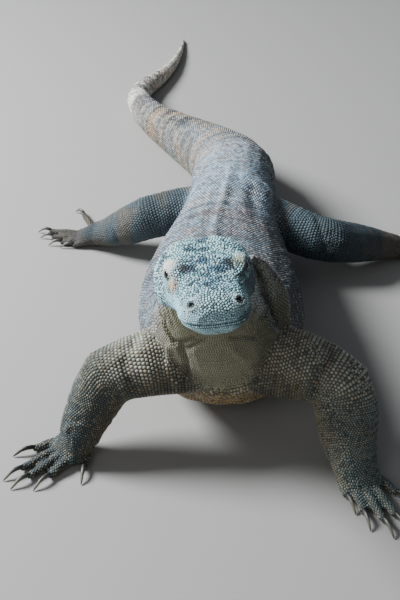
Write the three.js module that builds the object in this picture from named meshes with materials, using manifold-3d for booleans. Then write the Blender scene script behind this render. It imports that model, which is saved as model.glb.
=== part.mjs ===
// A Komodo dragon, Varanus komodoensis, as a still, life-size model: the chest is propped on the forelegs,
// the belly and tail lie on the ground, the hind legs are sprawled out and the raised head looks forward.
// Millimetres. +Z is up, the head points to -Y and the animal's left side is at +X. The origin is on the
// ground, under the middle of the whole outline.
import * as THREE from "three";
import { mergeVertices } from "three/addons/utils/BufferGeometryUtils.js";
import Module from "manifold-3d";

const wasm = await Module();
wasm.setup();

// Driving dimensions
const GAP = 0.3; // clearance between neighbouring pieces
const HEAD_BASE = [-108, -812, 405]; // where the head's axis starts, under the occiput
const HEAD_YAW = 6.5; // degrees, snout turned to the animal's left
const HEAD_PITCH = 15; // degrees, snout up
const HEAD_ROLL = 3; // degrees, right side down
const EYE_RADIUS = 11.5;
const EYE = [57, 101, 31]; // from the head's axis: sideways, forward and up
const MOUTH_FRONT = -4; // height of the mouth line in the head, at the snout
const MOUTH_MIDDLE = [150, -9]; // forward and up in the head
const MOUTH_CORNER = [72, -15];
const JAW_HINGE = [34, -90]; // where the jaw's rear edge leaves the head's underside
const SOLE_WIDTH = { fore: 40, hind: 32 }; // half the palm's or sole's width
const CLAW_LENGTH = { fore: 42, hind: 32 };
const CLAW_RADIUS = { fore: 5.2, hind: 4.6 };
const TOE_RADIUS = { fore: 9.5, hind: 8.5 };

// Each toe from the innermost outwards: where it leaves the sole, ahead of its middle and inwards, the way it
// points in degrees inwards from the sole's heading, its length to the claw and the claw's own turn.
const TOES = {
  fore: [
    [-16, 25, 22, 36, -4],
    [6, 20, 5, 56, 0],
    [12, 4, -3, 78, 0],
    [8, -14, -8, 80, 4],
    [-8, -28, -26, 54, 4],
  ],
  hind: [
    [-8, 28, 6, 28, 4],
    [2, 20, 4, 48, 8],
    [8, 7, -5, 68, 4],
    [8, -8, -10, 80, 8],
    [-20, -26, -62, 92, 26],
  ],
};

// Rounding of the facets
const BODY_AROUND = 20;
const HEAD_AROUND = 26;
const BROW_AROUND = 8;
const LIMB_AROUND = 12;
const SOLE_AROUND = 12;
const TOE_AROUND = 6;
const CLAW_AROUND = 6;
const EYE_AROUND = 10;

const HIDE = { color: 0x6d7072, roughness: 0.75, metalness: 0 };
const PALE_HIDE = { color: 0x9aa6a8, roughness: 0.7, metalness: 0 };
const TAIL_HIDE = { color: 0x8c8272, roughness: 0.8, metalness: 0 };
const HORN = { color: 0x77705c, roughness: 0.45, metalness: 0 };
const EYE_DARK = { color: 0x14100c, roughness: 0.08, metalness: 0 };

const radians = THREE.MathUtils.degToRad;
const vec = (p) => new THREE.Vector3(...p);
const power = (c, n) => Math.sign(c) * Math.abs(c) ** (2 / n);

function solidOf(geometry) {
  const bare = geometry.clone();
  bare.deleteAttribute("normal");
  bare.deleteAttribute("uv");
  const merged = mergeVertices(bare, 1e-3);
  return new wasm.Manifold(
    new wasm.Mesh({
      numProp: 3,
      vertProperties: merged.attributes.position.array,
      triVerts: new Uint32Array(merged.index.array),
    }),
  );
}

function meshOf(name, solid, look) {
  const data = solid.getMesh();
  const geometry = new THREE.BufferGeometry();
  geometry.setAttribute("position", new THREE.BufferAttribute(new Float32Array(data.vertProperties), 3));
  geometry.setIndex(new THREE.BufferAttribute(new Uint32Array(data.triVerts), 1));
  geometry.computeVertexNormals();
  const mesh = new THREE.Mesh(geometry, new THREE.MeshStandardMaterial(look));
  mesh.name = name;
  return mesh;
}

const joined = (solids) => solids.reduce((a, b) => a.add(b));
const onGround = (solid) => solid.trimByPlane([0, 0, 1], 0);
const largest = (solid) => solid.decompose().sort((a, b) => b.volume() - a.volume())[0];

const lineOf = (stations) =>
  new THREE.CatmullRomCurve3(stations.map((s) => vec(s.slice(0, 3))), false, "centripetal");

// A body of oval sections along a smooth line.
// stations [x, y, z, half width, height above, depth below, squareness above, squareness below]
function loft(stations, { around, along, up = [0, 0, 1], grow = 0, caps = [0.5, 0.5], capRings = 2 }) {
  const line = lineOf(stations);
  const sizes = new THREE.CatmullRomCurve3(stations.map((s) => vec(s.slice(3, 6))), false, "catmullrom", 0.5);
  const squares = stations.map((s) => [s[6] ?? 2, s[7] ?? 2]);
  const rings = [];
  const section = (t) => {
    const place = t * (stations.length - 1);
    const i = Math.min(Math.floor(place), stations.length - 2);
    const tangent = line.getTangent(t);
    const side = tangent.clone().cross(vec(up)).normalize();
    return {
      at: line.getPoint(t),
      size: sizes.getPoint(t),
      square: squares[i].map((n, k) => n + (squares[i + 1][k] - n) * (place - i)),
      tangent,
      side,
      rise: side.clone().cross(tangent),
    };
  };
  for (let k = 0; k < capRings; k++) {
    const turn = (k / capRings) * (Math.PI / 2);
    rings.push({ ...section(0), slide: -Math.cos(turn) * caps[0], scale: Math.sin(turn) });
  }
  for (let k = 0; k <= along; k++) rings.push({ ...section(k / along), slide: 0, scale: 1 });
  for (let k = capRings - 1; k >= 0; k--) {
    const turn = (k / capRings) * (Math.PI / 2);
    rings.push({ ...section(1), slide: Math.cos(turn) * caps[1], scale: Math.sin(turn) });
  }
  const geometry = new THREE.SphereGeometry(1, around, rings.length - 1);
  const position = geometry.attributes.position;
  for (let k = 0; k < position.count; k++) {
    const ring = rings[Math.floor(k / (around + 1))];
    const angle = (((k % (around + 1)) % around) / around) * 2 * Math.PI;
    const c = Math.cos(angle);
    const s = Math.sin(angle);
    const square = s > 0 ? ring.square[0] : ring.square[1];
    const tall = s > 0 ? ring.size.y : ring.size.z;
    const reach = Math.min(ring.size.x, ring.size.y, ring.size.z) + grow;
    const p = ring.at
      .clone()
      .addScaledVector(ring.side, power(c, square) * (ring.size.x + grow) * ring.scale)
      .addScaledVector(ring.rise, power(s, square) * (tall + grow) * ring.scale)
      .addScaledVector(ring.tangent, ring.slide * reach);
    position.setXYZ(k, p.x, p.y, p.z);
  }
  return solidOf(geometry);
}

// A thin sheet square across a line at one of its points, for parting what lies along it.
function sheetAcross(stations, t, size) {
  const line = lineOf(stations);
  const sheet = new THREE.BoxGeometry(size, size, GAP);
  const turn = new THREE.Quaternion().setFromUnitVectors(new THREE.Vector3(0, 0, 1), line.getTangent(t));
  sheet.applyQuaternion(turn).translate(...line.getPoint(t).toArray());
  return solidOf(sheet);
}

// Cuts a solid by sheets across its line, and gives its pieces in order along the line. Each piece goes to
// the stretch of line whose middle is nearest to it.
function partedAlong(solid, stations, cuts, size) {
  const last = stations.length - 1;
  const line = lineOf(stations);
  const pieces = solid
    .subtract(joined(cuts.map((station) => sheetAcross(stations, station / last, size))))
    .decompose()
    .sort((a, b) => b.volume() - a.volume())
    .slice(0, cuts.length + 1);
  const edges = [0, ...cuts, last];
  return cuts.concat(last).map((_, k) => {
    const middle = line.getPoint((edges[k] + edges[k + 1]) / 2 / last);
    const offset = (piece) => {
      const box = piece.boundingBox();
      return vec(box.min).add(vec(box.max)).multiplyScalar(0.5).distanceTo(middle);
    };
    const index = pieces.indexOf(pieces.reduce((a, b) => (offset(b) < offset(a) ? b : a)));
    return pieces.splice(index, 1)[0];
  });
}

// The neck, trunk and tail in one, from inside the head to the tail's tip.
const BODY = [
  [-106, -852, 410, 56, 44, 50, 2, 2],
  [-104, -820, 378, 71, 60, 66, 2, 2.2],
  [-99, -792, 336, 81, 74, 80, 2.1, 2.3],
  [-90, -769, 284, 98, 88, 98, 2.1, 2.3],
  [-79, -744, 226, 126, 104, 122, 2.1, 2.3],
  [-71, -698, 180, 146, 120, 142, 2.1, 2.4],
  [-67, -625, 142, 162, 128, 128, 2.1, 2.6],
  [-67, -535, 122, 168, 130, 128, 2.1, 2.8],
  [-64, -440, 117, 156, 126, 122, 2.1, 2.8],
  [-56, -335, 116, 130, 118, 120, 2.1, 2.6],
  [-45, -235, 120, 106, 108, 124, 2.2, 2.4],
  [-37, -140, 118, 98, 104, 121, 2.2, 2.4],
  [-29, -45, 108, 102, 97, 111, 2.1, 2.4],
  [-28, 40, 96, 97, 89, 99, 2.1, 2.3],
  [-66, 145, 82, 79, 76, 85, 2, 2.2],
  [-140, 262, 66, 60, 62, 69, 2, 2.2],
  [-220, 385, 51, 45, 49, 54, 2, 2.2],
  [-274, 495, 42, 36, 40, 44, 2, 2.2],
  [-289, 583, 35, 29, 34, 37, 2, 2.2],
  [-266, 655, 30, 24, 29, 32, 2, 2.2],
  [-232, 722, 25, 19, 25, 27, 2, 2.2],
  [-202, 800, 20, 14, 20, 22, 2, 2.2],
  [-181, 885, 15, 10, 15, 17, 2, 2.2],
  [-168, 970, 10, 6.5, 10, 12, 2, 2.2],
  [-162, 1045, 5, 3, 5, 6.5, 2, 2.2],
];
const BODY_PARTS = ["neck", "trunk", "tail_base", "tail_middle", "tail_bend", "tail_tip"];
const BODY_CUTS = [4, 13, 15.4, 17.6, 20.2]; // stations where those meet
const BODY_SHEET = 330; // reaches across the trunk at its cuts

// The roll of loose hide down the left side of the neck, where it bends.
const NECK_ROLL = [
  [-22, -786, 402, 12, 12, 12],
  [-10, -772, 376, 18, 18, 18],
  [8, -756, 338, 23, 23, 23],
  [24, -744, 294, 26, 26, 26],
  [34, -742, 250, 24, 24, 24],
  [38, -744, 214, 16, 16, 16],
];
const body = (grow) =>
  loft(BODY, { around: BODY_AROUND, along: 34, grow }).add(loft(NECK_ROLL, { around: 8, along: 5, grow }));

// The head lies along its own axis: +X to the animal's right, +Y forward and +Z up.
const HEAD = [
  [0, -30, -3, 52, 36, 44, 2.1, 2.1],
  [0, -4, 0, 70, 48, 52, 2.3, 2.2],
  [0, 28, 0, 82, 52, 56, 2.5, 2.3],
  [0, 64, 1, 82, 51, 54, 2.6, 2.3],
  [0, 98, 3, 73, 47, 49, 2.7, 2.2],
  [0, 130, 3, 62, 41, 44, 2.5, 2.2],
  [0, 162, 1, 56, 38, 38, 2.3, 2.2],
  [0, 192, -1, 53, 36, 33, 2.3, 2.2],
  [0, 214, -3, 44, 29, 26, 2.2, 2.2],
];
const BROW = [
  [53, 66, 36, 9, 7, 9],
  [57, 87, 41, 14, 8, 11],
  [53, 112, 38, 13, 8, 11],
  [45, 136, 30, 9, 7, 8],
];
const headFrame = new THREE.Matrix4()
  .makeTranslation(...HEAD_BASE)
  .multiply(new THREE.Matrix4().makeRotationZ(radians(180 + HEAD_YAW)))
  .multiply(new THREE.Matrix4().makeRotationX(radians(HEAD_PITCH)))
  .multiply(new THREE.Matrix4().makeRotationY(radians(HEAD_ROLL)));
const inHead = (solid) => solid.transform(headFrame.elements);
const mirrored = (stations) => stations.map(([x, ...rest]) => [-x, ...rest]);

function headWhole(grow) {
  const skull = loft(HEAD, { around: HEAD_AROUND, along: 12, grow, caps: [0.2, 0.7] });
  const brow = { around: BROW_AROUND, along: 4, grow, capRings: 1 };
  const brows = [BROW, mirrored(BROW)].map((stations) => loft(stations, brow));
  return skull.add(joined(brows));
}

// The mouth line runs back from the snout to the corner of the mouth, then down behind the jaw.
function mouthCut() {
  const past = 120; // clear of the head all round
  const route = [
    new THREE.Vector2(HEAD.at(-1)[1] + past, MOUTH_FRONT),
    new THREE.Vector2(...MOUTH_MIDDLE),
    new THREE.Vector2(...MOUTH_CORNER),
    new THREE.Vector2(...JAW_HINGE),
  ];
  const below = route.map((p) => new THREE.Vector2(p.x + GAP, p.y - GAP));
  const shape = new THREE.Shape([...route, ...below.reverse()]);
  const band = new THREE.ExtrudeGeometry(shape, { depth: 2 * past, bevelEnabled: false });
  band.translate(0, 0, -past);
  band.applyMatrix4(new THREE.Matrix4().makeBasis(vec([0, 1, 0]), vec([0, 0, 1]), vec([1, 0, 0])));
  return solidOf(band);
}

function eyeball(side, grow) {
  const [x, y, z] = EYE;
  const ball = new THREE.SphereGeometry(EYE_RADIUS + grow, EYE_AROUND, EYE_AROUND / 2);
  ball.rotateZ(Math.PI / 2).translate(side * x, y, z);
  return solidOf(ball);
}

// Each leg: its stations from inside the trunk to the wrist or ankle, then the middle of its palm or sole and
// the way the third toe points, in degrees from straight ahead to the animal's left. inner is 1 where the
// inner toes lie to the left of that. thumb stands in for the innermost toe's usual place.
const LEG_CUTS = [3, 5.7]; // stations at the elbow or knee, and at the wrist or ankle
const LEG_SHEET = 190; // reaches across a leg at its cuts
const LEGS = {
  fore_right: {
    kind: "fore",
    parts: ["upper_arm_right", "forearm_right", "hand_right"],
    up: [-0.14, -0.87, 0.47],
    stations: [
      [-118, -770, 184, 74, 60, 64],
      [-165, -784, 181, 68, 58, 62],
      [-226, -797, 174, 59, 56, 58],
      [-278, -802, 152, 56, 54, 54],
      [-303, -818, 110, 50, 50, 50],
      [-323, -836, 74, 43, 44, 44],
      [-334, -844, 48, 40, 38, 38],
    ],
    sole: [-356, -850, 18],
    heading: -47,
    inner: 1,
    thumb: [-20, 30, 42, 27, 0],
  },
  fore_left: {
    kind: "fore",
    parts: ["upper_arm_left", "forearm_left", "hand_left"],
    up: [-0.27, -0.89, 0.37],
    stations: [
      [0, -776, 178, 72, 60, 64],
      [48, -786, 174, 68, 58, 62],
      [102, -802, 168, 61, 56, 58],
      [146, -824, 150, 59, 54, 54],
      [156, -848, 108, 61, 52, 50],
      [160, -874, 72, 54, 45, 44],
      [168, -898, 46, 46, 38, 38],
    ],
    sole: [181, -930, 18],
    heading: 19,
    inner: -1,
    thumb: [-16, 34, 4, 35, -4],
  },
  hind_right: {
    kind: "hind",
    parts: ["thigh_right", "shin_right", "foot_right"],
    up: [0, 0, 1],
    stations: [
      [-75, -150, 112, 58, 54, 58],
      [-133, -157, 112, 56, 52, 56],
      [-190, -168, 106, 54, 50, 54],
      [-234, -174, 96, 52, 48, 50],
      [-285, -167, 68, 47, 45, 44],
      [-326, -154, 46, 37, 34, 34],
      [-352, -142, 34, 33, 28, 28],
    ],
    sole: [-388, -126, 15],
    heading: -97,
    inner: 1,
  },
  hind_left: {
    kind: "hind",
    parts: ["thigh_left", "shin_left", "foot_left"],
    up: [0, 0, 1],
    stations: [
      [22, -180, 112, 58, 54, 58],
      [84, -222, 108, 56, 52, 56],
      [140, -252, 100, 54, 50, 54],
      [190, -258, 90, 52, 48, 50],
      [257, -232, 65, 47, 45, 44],
      [314, -208, 44, 37, 34, 34],
      [342, -196, 34, 33, 28, 28],
    ],
    sole: [380, -182, 15],
    heading: 80,
    inner: -1,
  },
};

const toward = (degrees) => new THREE.Vector3(Math.sin(radians(degrees)), -Math.cos(radians(degrees)), 0);
const placed = (p, z, ...sizes) => [p.x, p.y, z, ...sizes];

// The palm or sole: flat below, from the wrist or ankle to the roots of the toes.
function sole({ kind, stations, sole: middle, heading }, grow) {
  const wide = SOLE_WIDTH[kind];
  const ahead = toward(heading);
  const [x, y, z, width, above] = stations.at(-1);
  const ankle = vec([x, y, z]);
  const centre = vec(middle);
  const half = ankle.clone().lerp(centre, 0.5);
  const front = centre.clone().addScaledVector(ahead, wide * 0.42);
  return loft(
    [
      [x, y, z, width, above, above],
      placed(half, half.z, (width + wide) / 2, above * 0.8, above * 0.8, 2, 2.4),
      placed(centre, centre.z, wide, above * 0.62, centre.z + 2, 2, 2.6),
      placed(front, centre.z - 2, wide * 0.94, above * 0.4, centre.z, 2, 2.6),
    ],
    { around: SOLE_AROUND, along: 3, grow, caps: [0.3, 0.8], capRings: 1 },
  );
}

function toeLines({ kind, sole: middle, heading, inner, thumb = TOES[kind][0] }) {
  const radius = TOE_RADIUS[kind];
  const thick = CLAW_RADIUS[kind];
  return [thumb, ...TOES[kind].slice(1)].map(([ahead, inward, way, length, clawTurn]) => {
    const from = vec(middle)
      .addScaledVector(toward(heading), ahead)
      .addScaledVector(toward(heading + inner * 90), inward);
    const toeWay = toward(heading + inner * way);
    const clawWay = toward(heading + inner * (way + clawTurn));
    const toe = (share) => from.clone().addScaledVector(toeWay, length * share);
    const claw = (share) => toe(1).addScaledVector(clawWay, CLAW_LENGTH[kind] * share);
    return {
      toe: [
        placed(toe(0), radius + 7, radius, radius, radius),
        placed(toe(0.5), radius + 5, radius, radius, radius + 2),
        placed(toe(0.78), radius + 1, radius * 0.92, radius * 0.88, radius + 1),
        placed(toe(1.02), radius, radius * 0.8, radius * 0.8, radius * 0.9),
      ],
      claw: [
        placed(claw(-0.16), radius + 2, thick * 0.8, thick * 0.8, thick * 0.9),
        placed(claw(0.3), radius + 4, thick * 0.75, thick, thick * 0.9),
        placed(claw(0.7), radius - 1, thick * 0.45, thick * 0.7, thick * 0.6),
        placed(claw(1), 2.4, thick * 0.2, thick * 0.25, thick * 0.25),
      ],
    };
  });
}

function legMeshes(name, leg) {
  const limb = (grow) => loft(leg.stations, { around: LIMB_AROUND, along: 8, up: leg.up, grow });
  const lines = toeLines(leg);
  const toe = (line, grow) =>
    loft(line, { around: TOE_AROUND, along: 3, grow, caps: [0.5, 0.6], capRings: 1 });
  const hand = (grow) => joined([sole(leg, grow), ...lines.map((line) => toe(line.toe, grow))]);
  const free = largest(onGround(limb(0).add(hand(0))).subtract(body(GAP)));
  const pieces = partedAlong(free, [...leg.stations, leg.sole], LEG_CUTS, LEG_SHEET);
  const clear = hand(GAP);
  const claws = lines.map((line, k) => {
    const horn = onGround(loft(line.claw, { around: CLAW_AROUND, along: 3, capRings: 1 }));
    return meshOf(`claw_${name}_${k + 1}`, largest(horn.subtract(clear)), HORN);
  });
  return [...leg.parts.map((part, k) => meshOf(part, pieces[k], HIDE)), ...claws];
}

function trunkMeshes() {
  const free = largest(onGround(body(0)).subtract(inHead(headWhole(GAP))));
  const pieces = partedAlong(free, BODY, BODY_CUTS, BODY_SHEET);
  return BODY_PARTS.map((name, k) => meshOf(name, pieces[k], name.startsWith("tail") ? TAIL_HIDE : HIDE));
}

function headMeshes() {
  const sockets = joined([1, -1].map((side) => eyeball(side, GAP)));
  const halves = headWhole(0)
    .subtract(mouthCut())
    .decompose()
    .sort((a, b) => b.volume() - a.volume());
  return [
    meshOf("head", inHead(halves[0].subtract(sockets)), PALE_HIDE),
    meshOf("lower_jaw", inHead(halves[1]), PALE_HIDE),
    meshOf("eye_right", inHead(eyeball(1, 0)), EYE_DARK),
    meshOf("eye_left", inHead(eyeball(-1, 0)), EYE_DARK),
  ];
}

const root = new THREE.Group();
root.add(...headMeshes(), ...trunkMeshes());
for (const [name, leg] of Object.entries(LEGS)) root.add(...legMeshes(name, leg));
const middle = new THREE.Box3().setFromObject(root).getCenter(new THREE.Vector3());
root.position.set(-middle.x, -middle.y, 0);

export default root;
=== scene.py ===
"""A Komodo dragon as a still, life-size model: one skin over the frame's solids of flesh, a coat of bead
scales laid in rows along the body, glossy eyes set behind lids and twenty horn claws. Metres, in the frame's
axes: the head points to -Y, the animal's left side is at +X and the ground is z = 0."""

import math

import bpy
import numpy as np
from mathutils import Matrix, Vector
from mathutils.bvhtree import BVHTree
from mathutils.kdtree import KDTree


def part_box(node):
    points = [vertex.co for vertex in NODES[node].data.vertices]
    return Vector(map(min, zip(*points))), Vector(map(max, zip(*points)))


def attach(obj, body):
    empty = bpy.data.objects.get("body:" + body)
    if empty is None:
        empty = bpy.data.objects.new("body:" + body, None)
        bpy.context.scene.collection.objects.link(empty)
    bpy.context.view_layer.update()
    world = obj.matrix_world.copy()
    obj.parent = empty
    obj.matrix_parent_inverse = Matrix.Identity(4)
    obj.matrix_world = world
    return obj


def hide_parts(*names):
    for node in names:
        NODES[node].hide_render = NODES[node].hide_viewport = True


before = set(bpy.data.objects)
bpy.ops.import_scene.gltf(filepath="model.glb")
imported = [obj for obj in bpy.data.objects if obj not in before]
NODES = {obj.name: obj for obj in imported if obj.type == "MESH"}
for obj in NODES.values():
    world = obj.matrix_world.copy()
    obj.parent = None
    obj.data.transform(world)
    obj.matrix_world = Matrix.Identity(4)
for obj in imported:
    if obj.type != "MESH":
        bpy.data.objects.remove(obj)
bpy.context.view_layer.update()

MM = 0.001
FAR, TINY = 1e9, 1e-9
UP = (0, 0, 1)
EYES = ("eye_right", "eye_left")
CLAWS = sorted(name for name in NODES if name.startswith("claw_"))
FLESH = sorted(name for name in NODES if name not in EYES and not name.startswith("claw_"))

# ---- camera, floor and light

CAMERA_AT = (-0.10894, -2.32577, 1.468)
CAMERA_DOWN = 36.72  # degrees below the horizon, looking along +Y
CAMERA_LENS = 66  # on a 36 mm sensor along the picture's longer side

camera_data = bpy.data.cameras.new("camera")
camera_data.lens = CAMERA_LENS
camera_data.sensor_width = 36
camera_data.clip_end = 60
camera = bpy.data.objects.new("camera", camera_data)
camera.location = CAMERA_AT
camera.rotation_euler = (math.radians(90 - CAMERA_DOWN), 0, 0)
bpy.context.scene.collection.objects.link(camera)
bpy.context.scene.camera = camera


def area_light(name, at, towards, size, power, colour):
    light = bpy.data.lights.new(name, "AREA")
    light.shape = "DISK"
    light.size = size
    light.energy = power
    light.color = colour
    lamp = bpy.data.objects.new(name, light)
    lamp.location = at
    lamp.rotation_euler = (Vector(towards) - Vector(at)).to_track_quat("-Z", "Y").to_euler()
    bpy.context.scene.collection.objects.link(lamp)


area_light("key", (-3.05, 0.3, 2.75), (-0.05, -0.3, 0.15), 1.6, 520, (0.95, 0.985, 1))
area_light("front", (-1.6, -3.4, 2.4), (-0.1, -0.6, 0.2), 2.4, 22, (1, 0.97, 0.92))

world = bpy.data.worlds.new("studio")
world.use_nodes = True
world.node_tree.nodes["Background"].inputs["Color"].default_value = (0.86, 0.91, 1, 1)
world.node_tree.nodes["Background"].inputs["Strength"].default_value = 0.19
bpy.context.scene.world = world

floor_mesh = bpy.data.meshes.new("floor")
FLOOR = 14.0
floor_mesh.from_pydata(
    [(-FLOOR, -FLOOR, 0), (FLOOR, -FLOOR, 0), (FLOOR, FLOOR, 0), (-FLOOR, FLOOR, 0)],
    [],
    [(0, 1, 2, 3)],
)
floor = bpy.data.objects.new("floor", floor_mesh)
bpy.context.scene.collection.objects.link(floor)
floor_material = bpy.data.materials.new("floor")
floor_material.use_nodes = True
floor_shader = floor_material.node_tree.nodes["Principled BSDF"]
floor_shader.inputs["Base Color"].default_value = (0.31, 0.306, 0.294, 1)
floor_shader.inputs["Roughness"].default_value = 0.9
floor_mesh.materials.append(floor_material)

# ---- the head's own axes

HEAD_YAW = 6.5
HEAD_PITCH = 15
HEAD_ROLL = 3
EYE_RADIUS = 11.5  # mm
EYE = (57, 101, 31)  # mm from the head's base: to the right, forward and up


def middle(name):
    low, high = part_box(name)
    return np.array((low + high) / 2)


def lengths(vectors):
    return np.linalg.norm(vectors, axis=-1)


def unit(vector):
    return vector / np.linalg.norm(vector)


HEAD_TURN = np.array(
    Matrix.Rotation(math.radians(180 + HEAD_YAW), 3, "Z")
    @ Matrix.Rotation(math.radians(HEAD_PITCH), 3, "X")
    @ Matrix.Rotation(math.radians(HEAD_ROLL), 3, "Y")
)
EYES_MIDDLE = (middle("eye_right") + middle("eye_left")) / 2
HEAD_BASE = EYES_MIDDLE - HEAD_TURN @ (np.array((0, EYE[1], EYE[2])) * MM)


def to_head(points):
    """The same points in mm along the head's axes: right, forward, up."""
    return (points - HEAD_BASE) @ HEAD_TURN / MM


def from_head(points):
    return (points * MM) @ HEAD_TURN.T + HEAD_BASE


# ---- mesh helpers


def triangles_of(mesh):
    mesh.calc_loop_triangles()
    points = np.zeros(len(mesh.vertices) * 3)
    mesh.vertices.foreach_get("co", points)
    corners = np.zeros(len(mesh.loop_triangles) * 3, np.int64)
    mesh.loop_triangles.foreach_get("vertices", corners)
    return points.reshape(-1, 3), corners.reshape(-1, 3)


def joined(names):
    """All points and triangles of these nodes, and each triangle's number in names."""
    points, corners, owner, start = [], [], [], 0
    for number, name in enumerate(names):
        some, tri = triangles_of(NODES[name].data)
        points.append(some)
        corners.append(tri + start)
        owner.append(np.full(len(tri), number))
        start += len(some)
    return np.concatenate(points), np.concatenate(corners), np.concatenate(owner)


def mesh_from(name, points, faces):
    mesh = bpy.data.meshes.new(name)
    mesh.vertices.add(len(points))
    mesh.vertices.foreach_set("co", np.asarray(points, np.float32).ravel())
    sides = faces.shape[1]
    mesh.loops.add(len(faces) * sides)
    mesh.loops.foreach_set("vertex_index", faces.astype(np.int32).ravel())
    mesh.polygons.add(len(faces))
    mesh.polygons.foreach_set("loop_start", np.arange(0, len(faces) * sides, sides, dtype=np.int32))
    mesh.update(calc_edges=True)
    return mesh


def ring_faces(rings, around):
    """Triangles between rings of points, each with that many points."""
    faces = []
    for start in range(0, (rings - 1) * around, around):
        for k in range(around):
            a, b = start + k, start + (k + 1) % around
            faces += [(a, b, b + around), (a, b + around, a + around)]
    return faces


def linked(name, mesh):
    obj = bpy.data.objects.new(name, mesh)
    bpy.context.scene.collection.objects.link(obj)
    return obj


def crosses(points, tri):
    a, b, c = (points[tri[:, k]] for k in range(3))
    return np.cross(b - a, c - a)


def normals_of(points, tri):
    cross = crosses(points, tri)
    total = np.stack(
        [sum(np.bincount(tri[:, k], cross[:, i], len(points)) for k in range(3)) for i in range(3)], 1
    )
    return total / np.maximum(lengths(total), 1e-12)[:, None]


def edges_of(tri):
    pairs = np.sort(np.concatenate([tri[:, [0, 1]], tri[:, [1, 2]], tri[:, [2, 0]]]), axis=1)
    return np.unique(pairs, axis=0)


def spread(values, edges, rate, rounds, back=None):
    """Averages each value with its neighbours'. With back, every other round pushes out again, so that a
    shape is smoothed and keeps its size."""
    values = values.astype(float).copy()
    count = len(values)
    a, b = edges.T
    near = np.maximum(np.bincount(a, minlength=count) + np.bincount(b, minlength=count), 1)[:, None]
    rate = np.broadcast_to(np.asarray(rate, float).reshape(-1, 1), (count, 1))
    for _ in range(rounds):
        for amount in (0.5,) if back is None else (0.5, back):
            total = np.stack(
                [
                    np.bincount(a, values[b, i], count) + np.bincount(b, values[a, i], count)
                    for i in range(values.shape[1])
                ],
                1,
            )
            values += amount * rate * (total / near - values)
    return values


def biggest_island(points, tri):
    """Leaves out any closed bubble that the remesh left inside."""
    label = np.arange(len(points))
    pairs = edges_of(tri)
    while True:
        low = np.minimum(label[pairs[:, 0]], label[pairs[:, 1]])
        before = label.copy()
        np.minimum.at(label, pairs[:, 0], low)
        np.minimum.at(label, pairs[:, 1], low)
        label = label[label]
        if (label == before).all():
            break
    main = np.bincount(label).argmax()
    keep = label == main
    number = np.cumsum(keep) - 1
    kept = tri[keep[tri[:, 0]]]
    return points[keep], number[kept]


# ---- lines and regions

REGIONS = (
    "head", "neck", "trunk", "tail",
    "arm_right", "hand_right", "arm_left", "hand_left",
    "leg_right", "foot_right", "leg_left", "foot_left",
)  # fmt: skip
BODY = ("neck", "trunk", "tail")
SMOOTHING, GAP, PLUMP, EDGE_SHADE, ROWED, GROOVE_TONE_AND_SHADE, TONE = range(7)
PARTS = {
    # smoothing of the skin; gap between scales, mm; a scale's height by its reach; painted shade at its edge;
    # how much wider gaps are between rows; how dark the skin between scales is, partly its own darker colour
    # and partly painted shade in the gaps; the hide's screen colour
    "head": (0.8, 1.3, 0.46, 0.07, 0, 0.09, (160, 218, 234)),
    "neck": (1, 0.6, 0.34, 0.5, 0.5, 0.4, (128, 130, 130)),
    "trunk": (1, 0.6, 0.34, 0.42, 0.55, 0.28, (136, 152, 164)),
    "tail": (0.9, 0.6, 0.34, 0.42, 0.5, 0.28, (144, 143, 138)),
    "arm": (0.8, 0.75, 0.44, 0.46, 0.5, 0.24, (90, 98, 92)),
    "hand": (0.35, 0.6, 0.4, 0.46, 0.6, 0.28, (76, 86, 83)),
    "leg": (0.8, 0.6, 0.38, 0.55, 0.4, 0.42, (78, 95, 103)),
    "foot": (0.35, 0.55, 0.38, 0.55, 0.5, 0.42, (44, 57, 65)),
}
LINE_STEP = 3  # mm

# The line down the middle of the body from the nape to the tail's tip, and of each limb from inside the trunk
# to the middle of its sole, mm.
SPINE = (
    (-105, -846, 404), (-103, -818, 372), (-98, -790, 332), (-89, -765, 284), (-78, -740, 226), (-70, -694, 182),
    (-66, -621, 146), (-66, -531, 124), (-63, -436, 117), (-55, -331, 116), (-44, -231, 118), (-36, -136, 116),
    (-28, -41, 108), (-27, 44, 95), (-65, 149, 80), (-139, 266, 63), (-219, 389, 49), (-273, 499, 40),
    (-288, 587, 34), (-265, 659, 29), (-231, 726, 24), (-201, 804, 18), (-180, 889, 14), (-167, 974, 9),
    (-161, 1049, 5),
)  # fmt: skip
LIMBS = {
    "arm_right": (
        (-90, -764, 186), (-117, -766, 184), (-164, -780, 181), (-225, -793, 174), (-277, -798, 152),
        (-302, -814, 110), (-322, -832, 74), (-333, -842, 46), (-346, -852, 26), (-362, -866, 14),
    ),
    "arm_left": (
        (-30, -768, 180), (1, -772, 178), (49, -782, 174), (103, -798, 168), (147, -820, 150),
        (156, -844, 108), (161, -871, 72), (170, -896, 44), (180, -922, 26), (188, -942, 14),
    ),
    "leg_right": (
        (-40, -140, 114), (-74, -146, 112), (-132, -153, 112), (-189, -164, 106), (-233, -170, 96),
        (-284, -163, 68), (-325, -150, 46), (-351, -138, 32), (-376, -128, 20), (-396, -124, 12),
    ),
    "leg_left": (
        (-10, -162, 114), (23, -176, 112), (85, -218, 108), (141, -248, 100), (191, -254, 90),
        (258, -228, 65), (315, -204, 44), (343, -192, 32), (368, -182, 20), (392, -176, 12),
    ),
}  # fmt: skip


def part_of(name):
    return name.split("_")[0]


def region_of(node):
    if node in ("head", "lower_jaw") or node in EYES:
        return "head"
    if node in ("neck", "trunk"):
        return node
    if node.startswith("tail"):
        return "tail"
    *part, side = node.split("_")
    regions = {"upper_arm": "arm", "forearm": "arm", "thigh": "leg", "shin": "leg"}
    return regions.get("_".join(part), part[0]) + "_" + side


def stretch_of(line):
    """How far along the line each of its points is."""
    return np.concatenate([[0], np.cumsum(lengths(np.diff(line, axis=0)))])


def interp3(at, reach, values):
    return np.stack([np.interp(at, reach, values[:, i]) for i in range(3)], -1)


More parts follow.
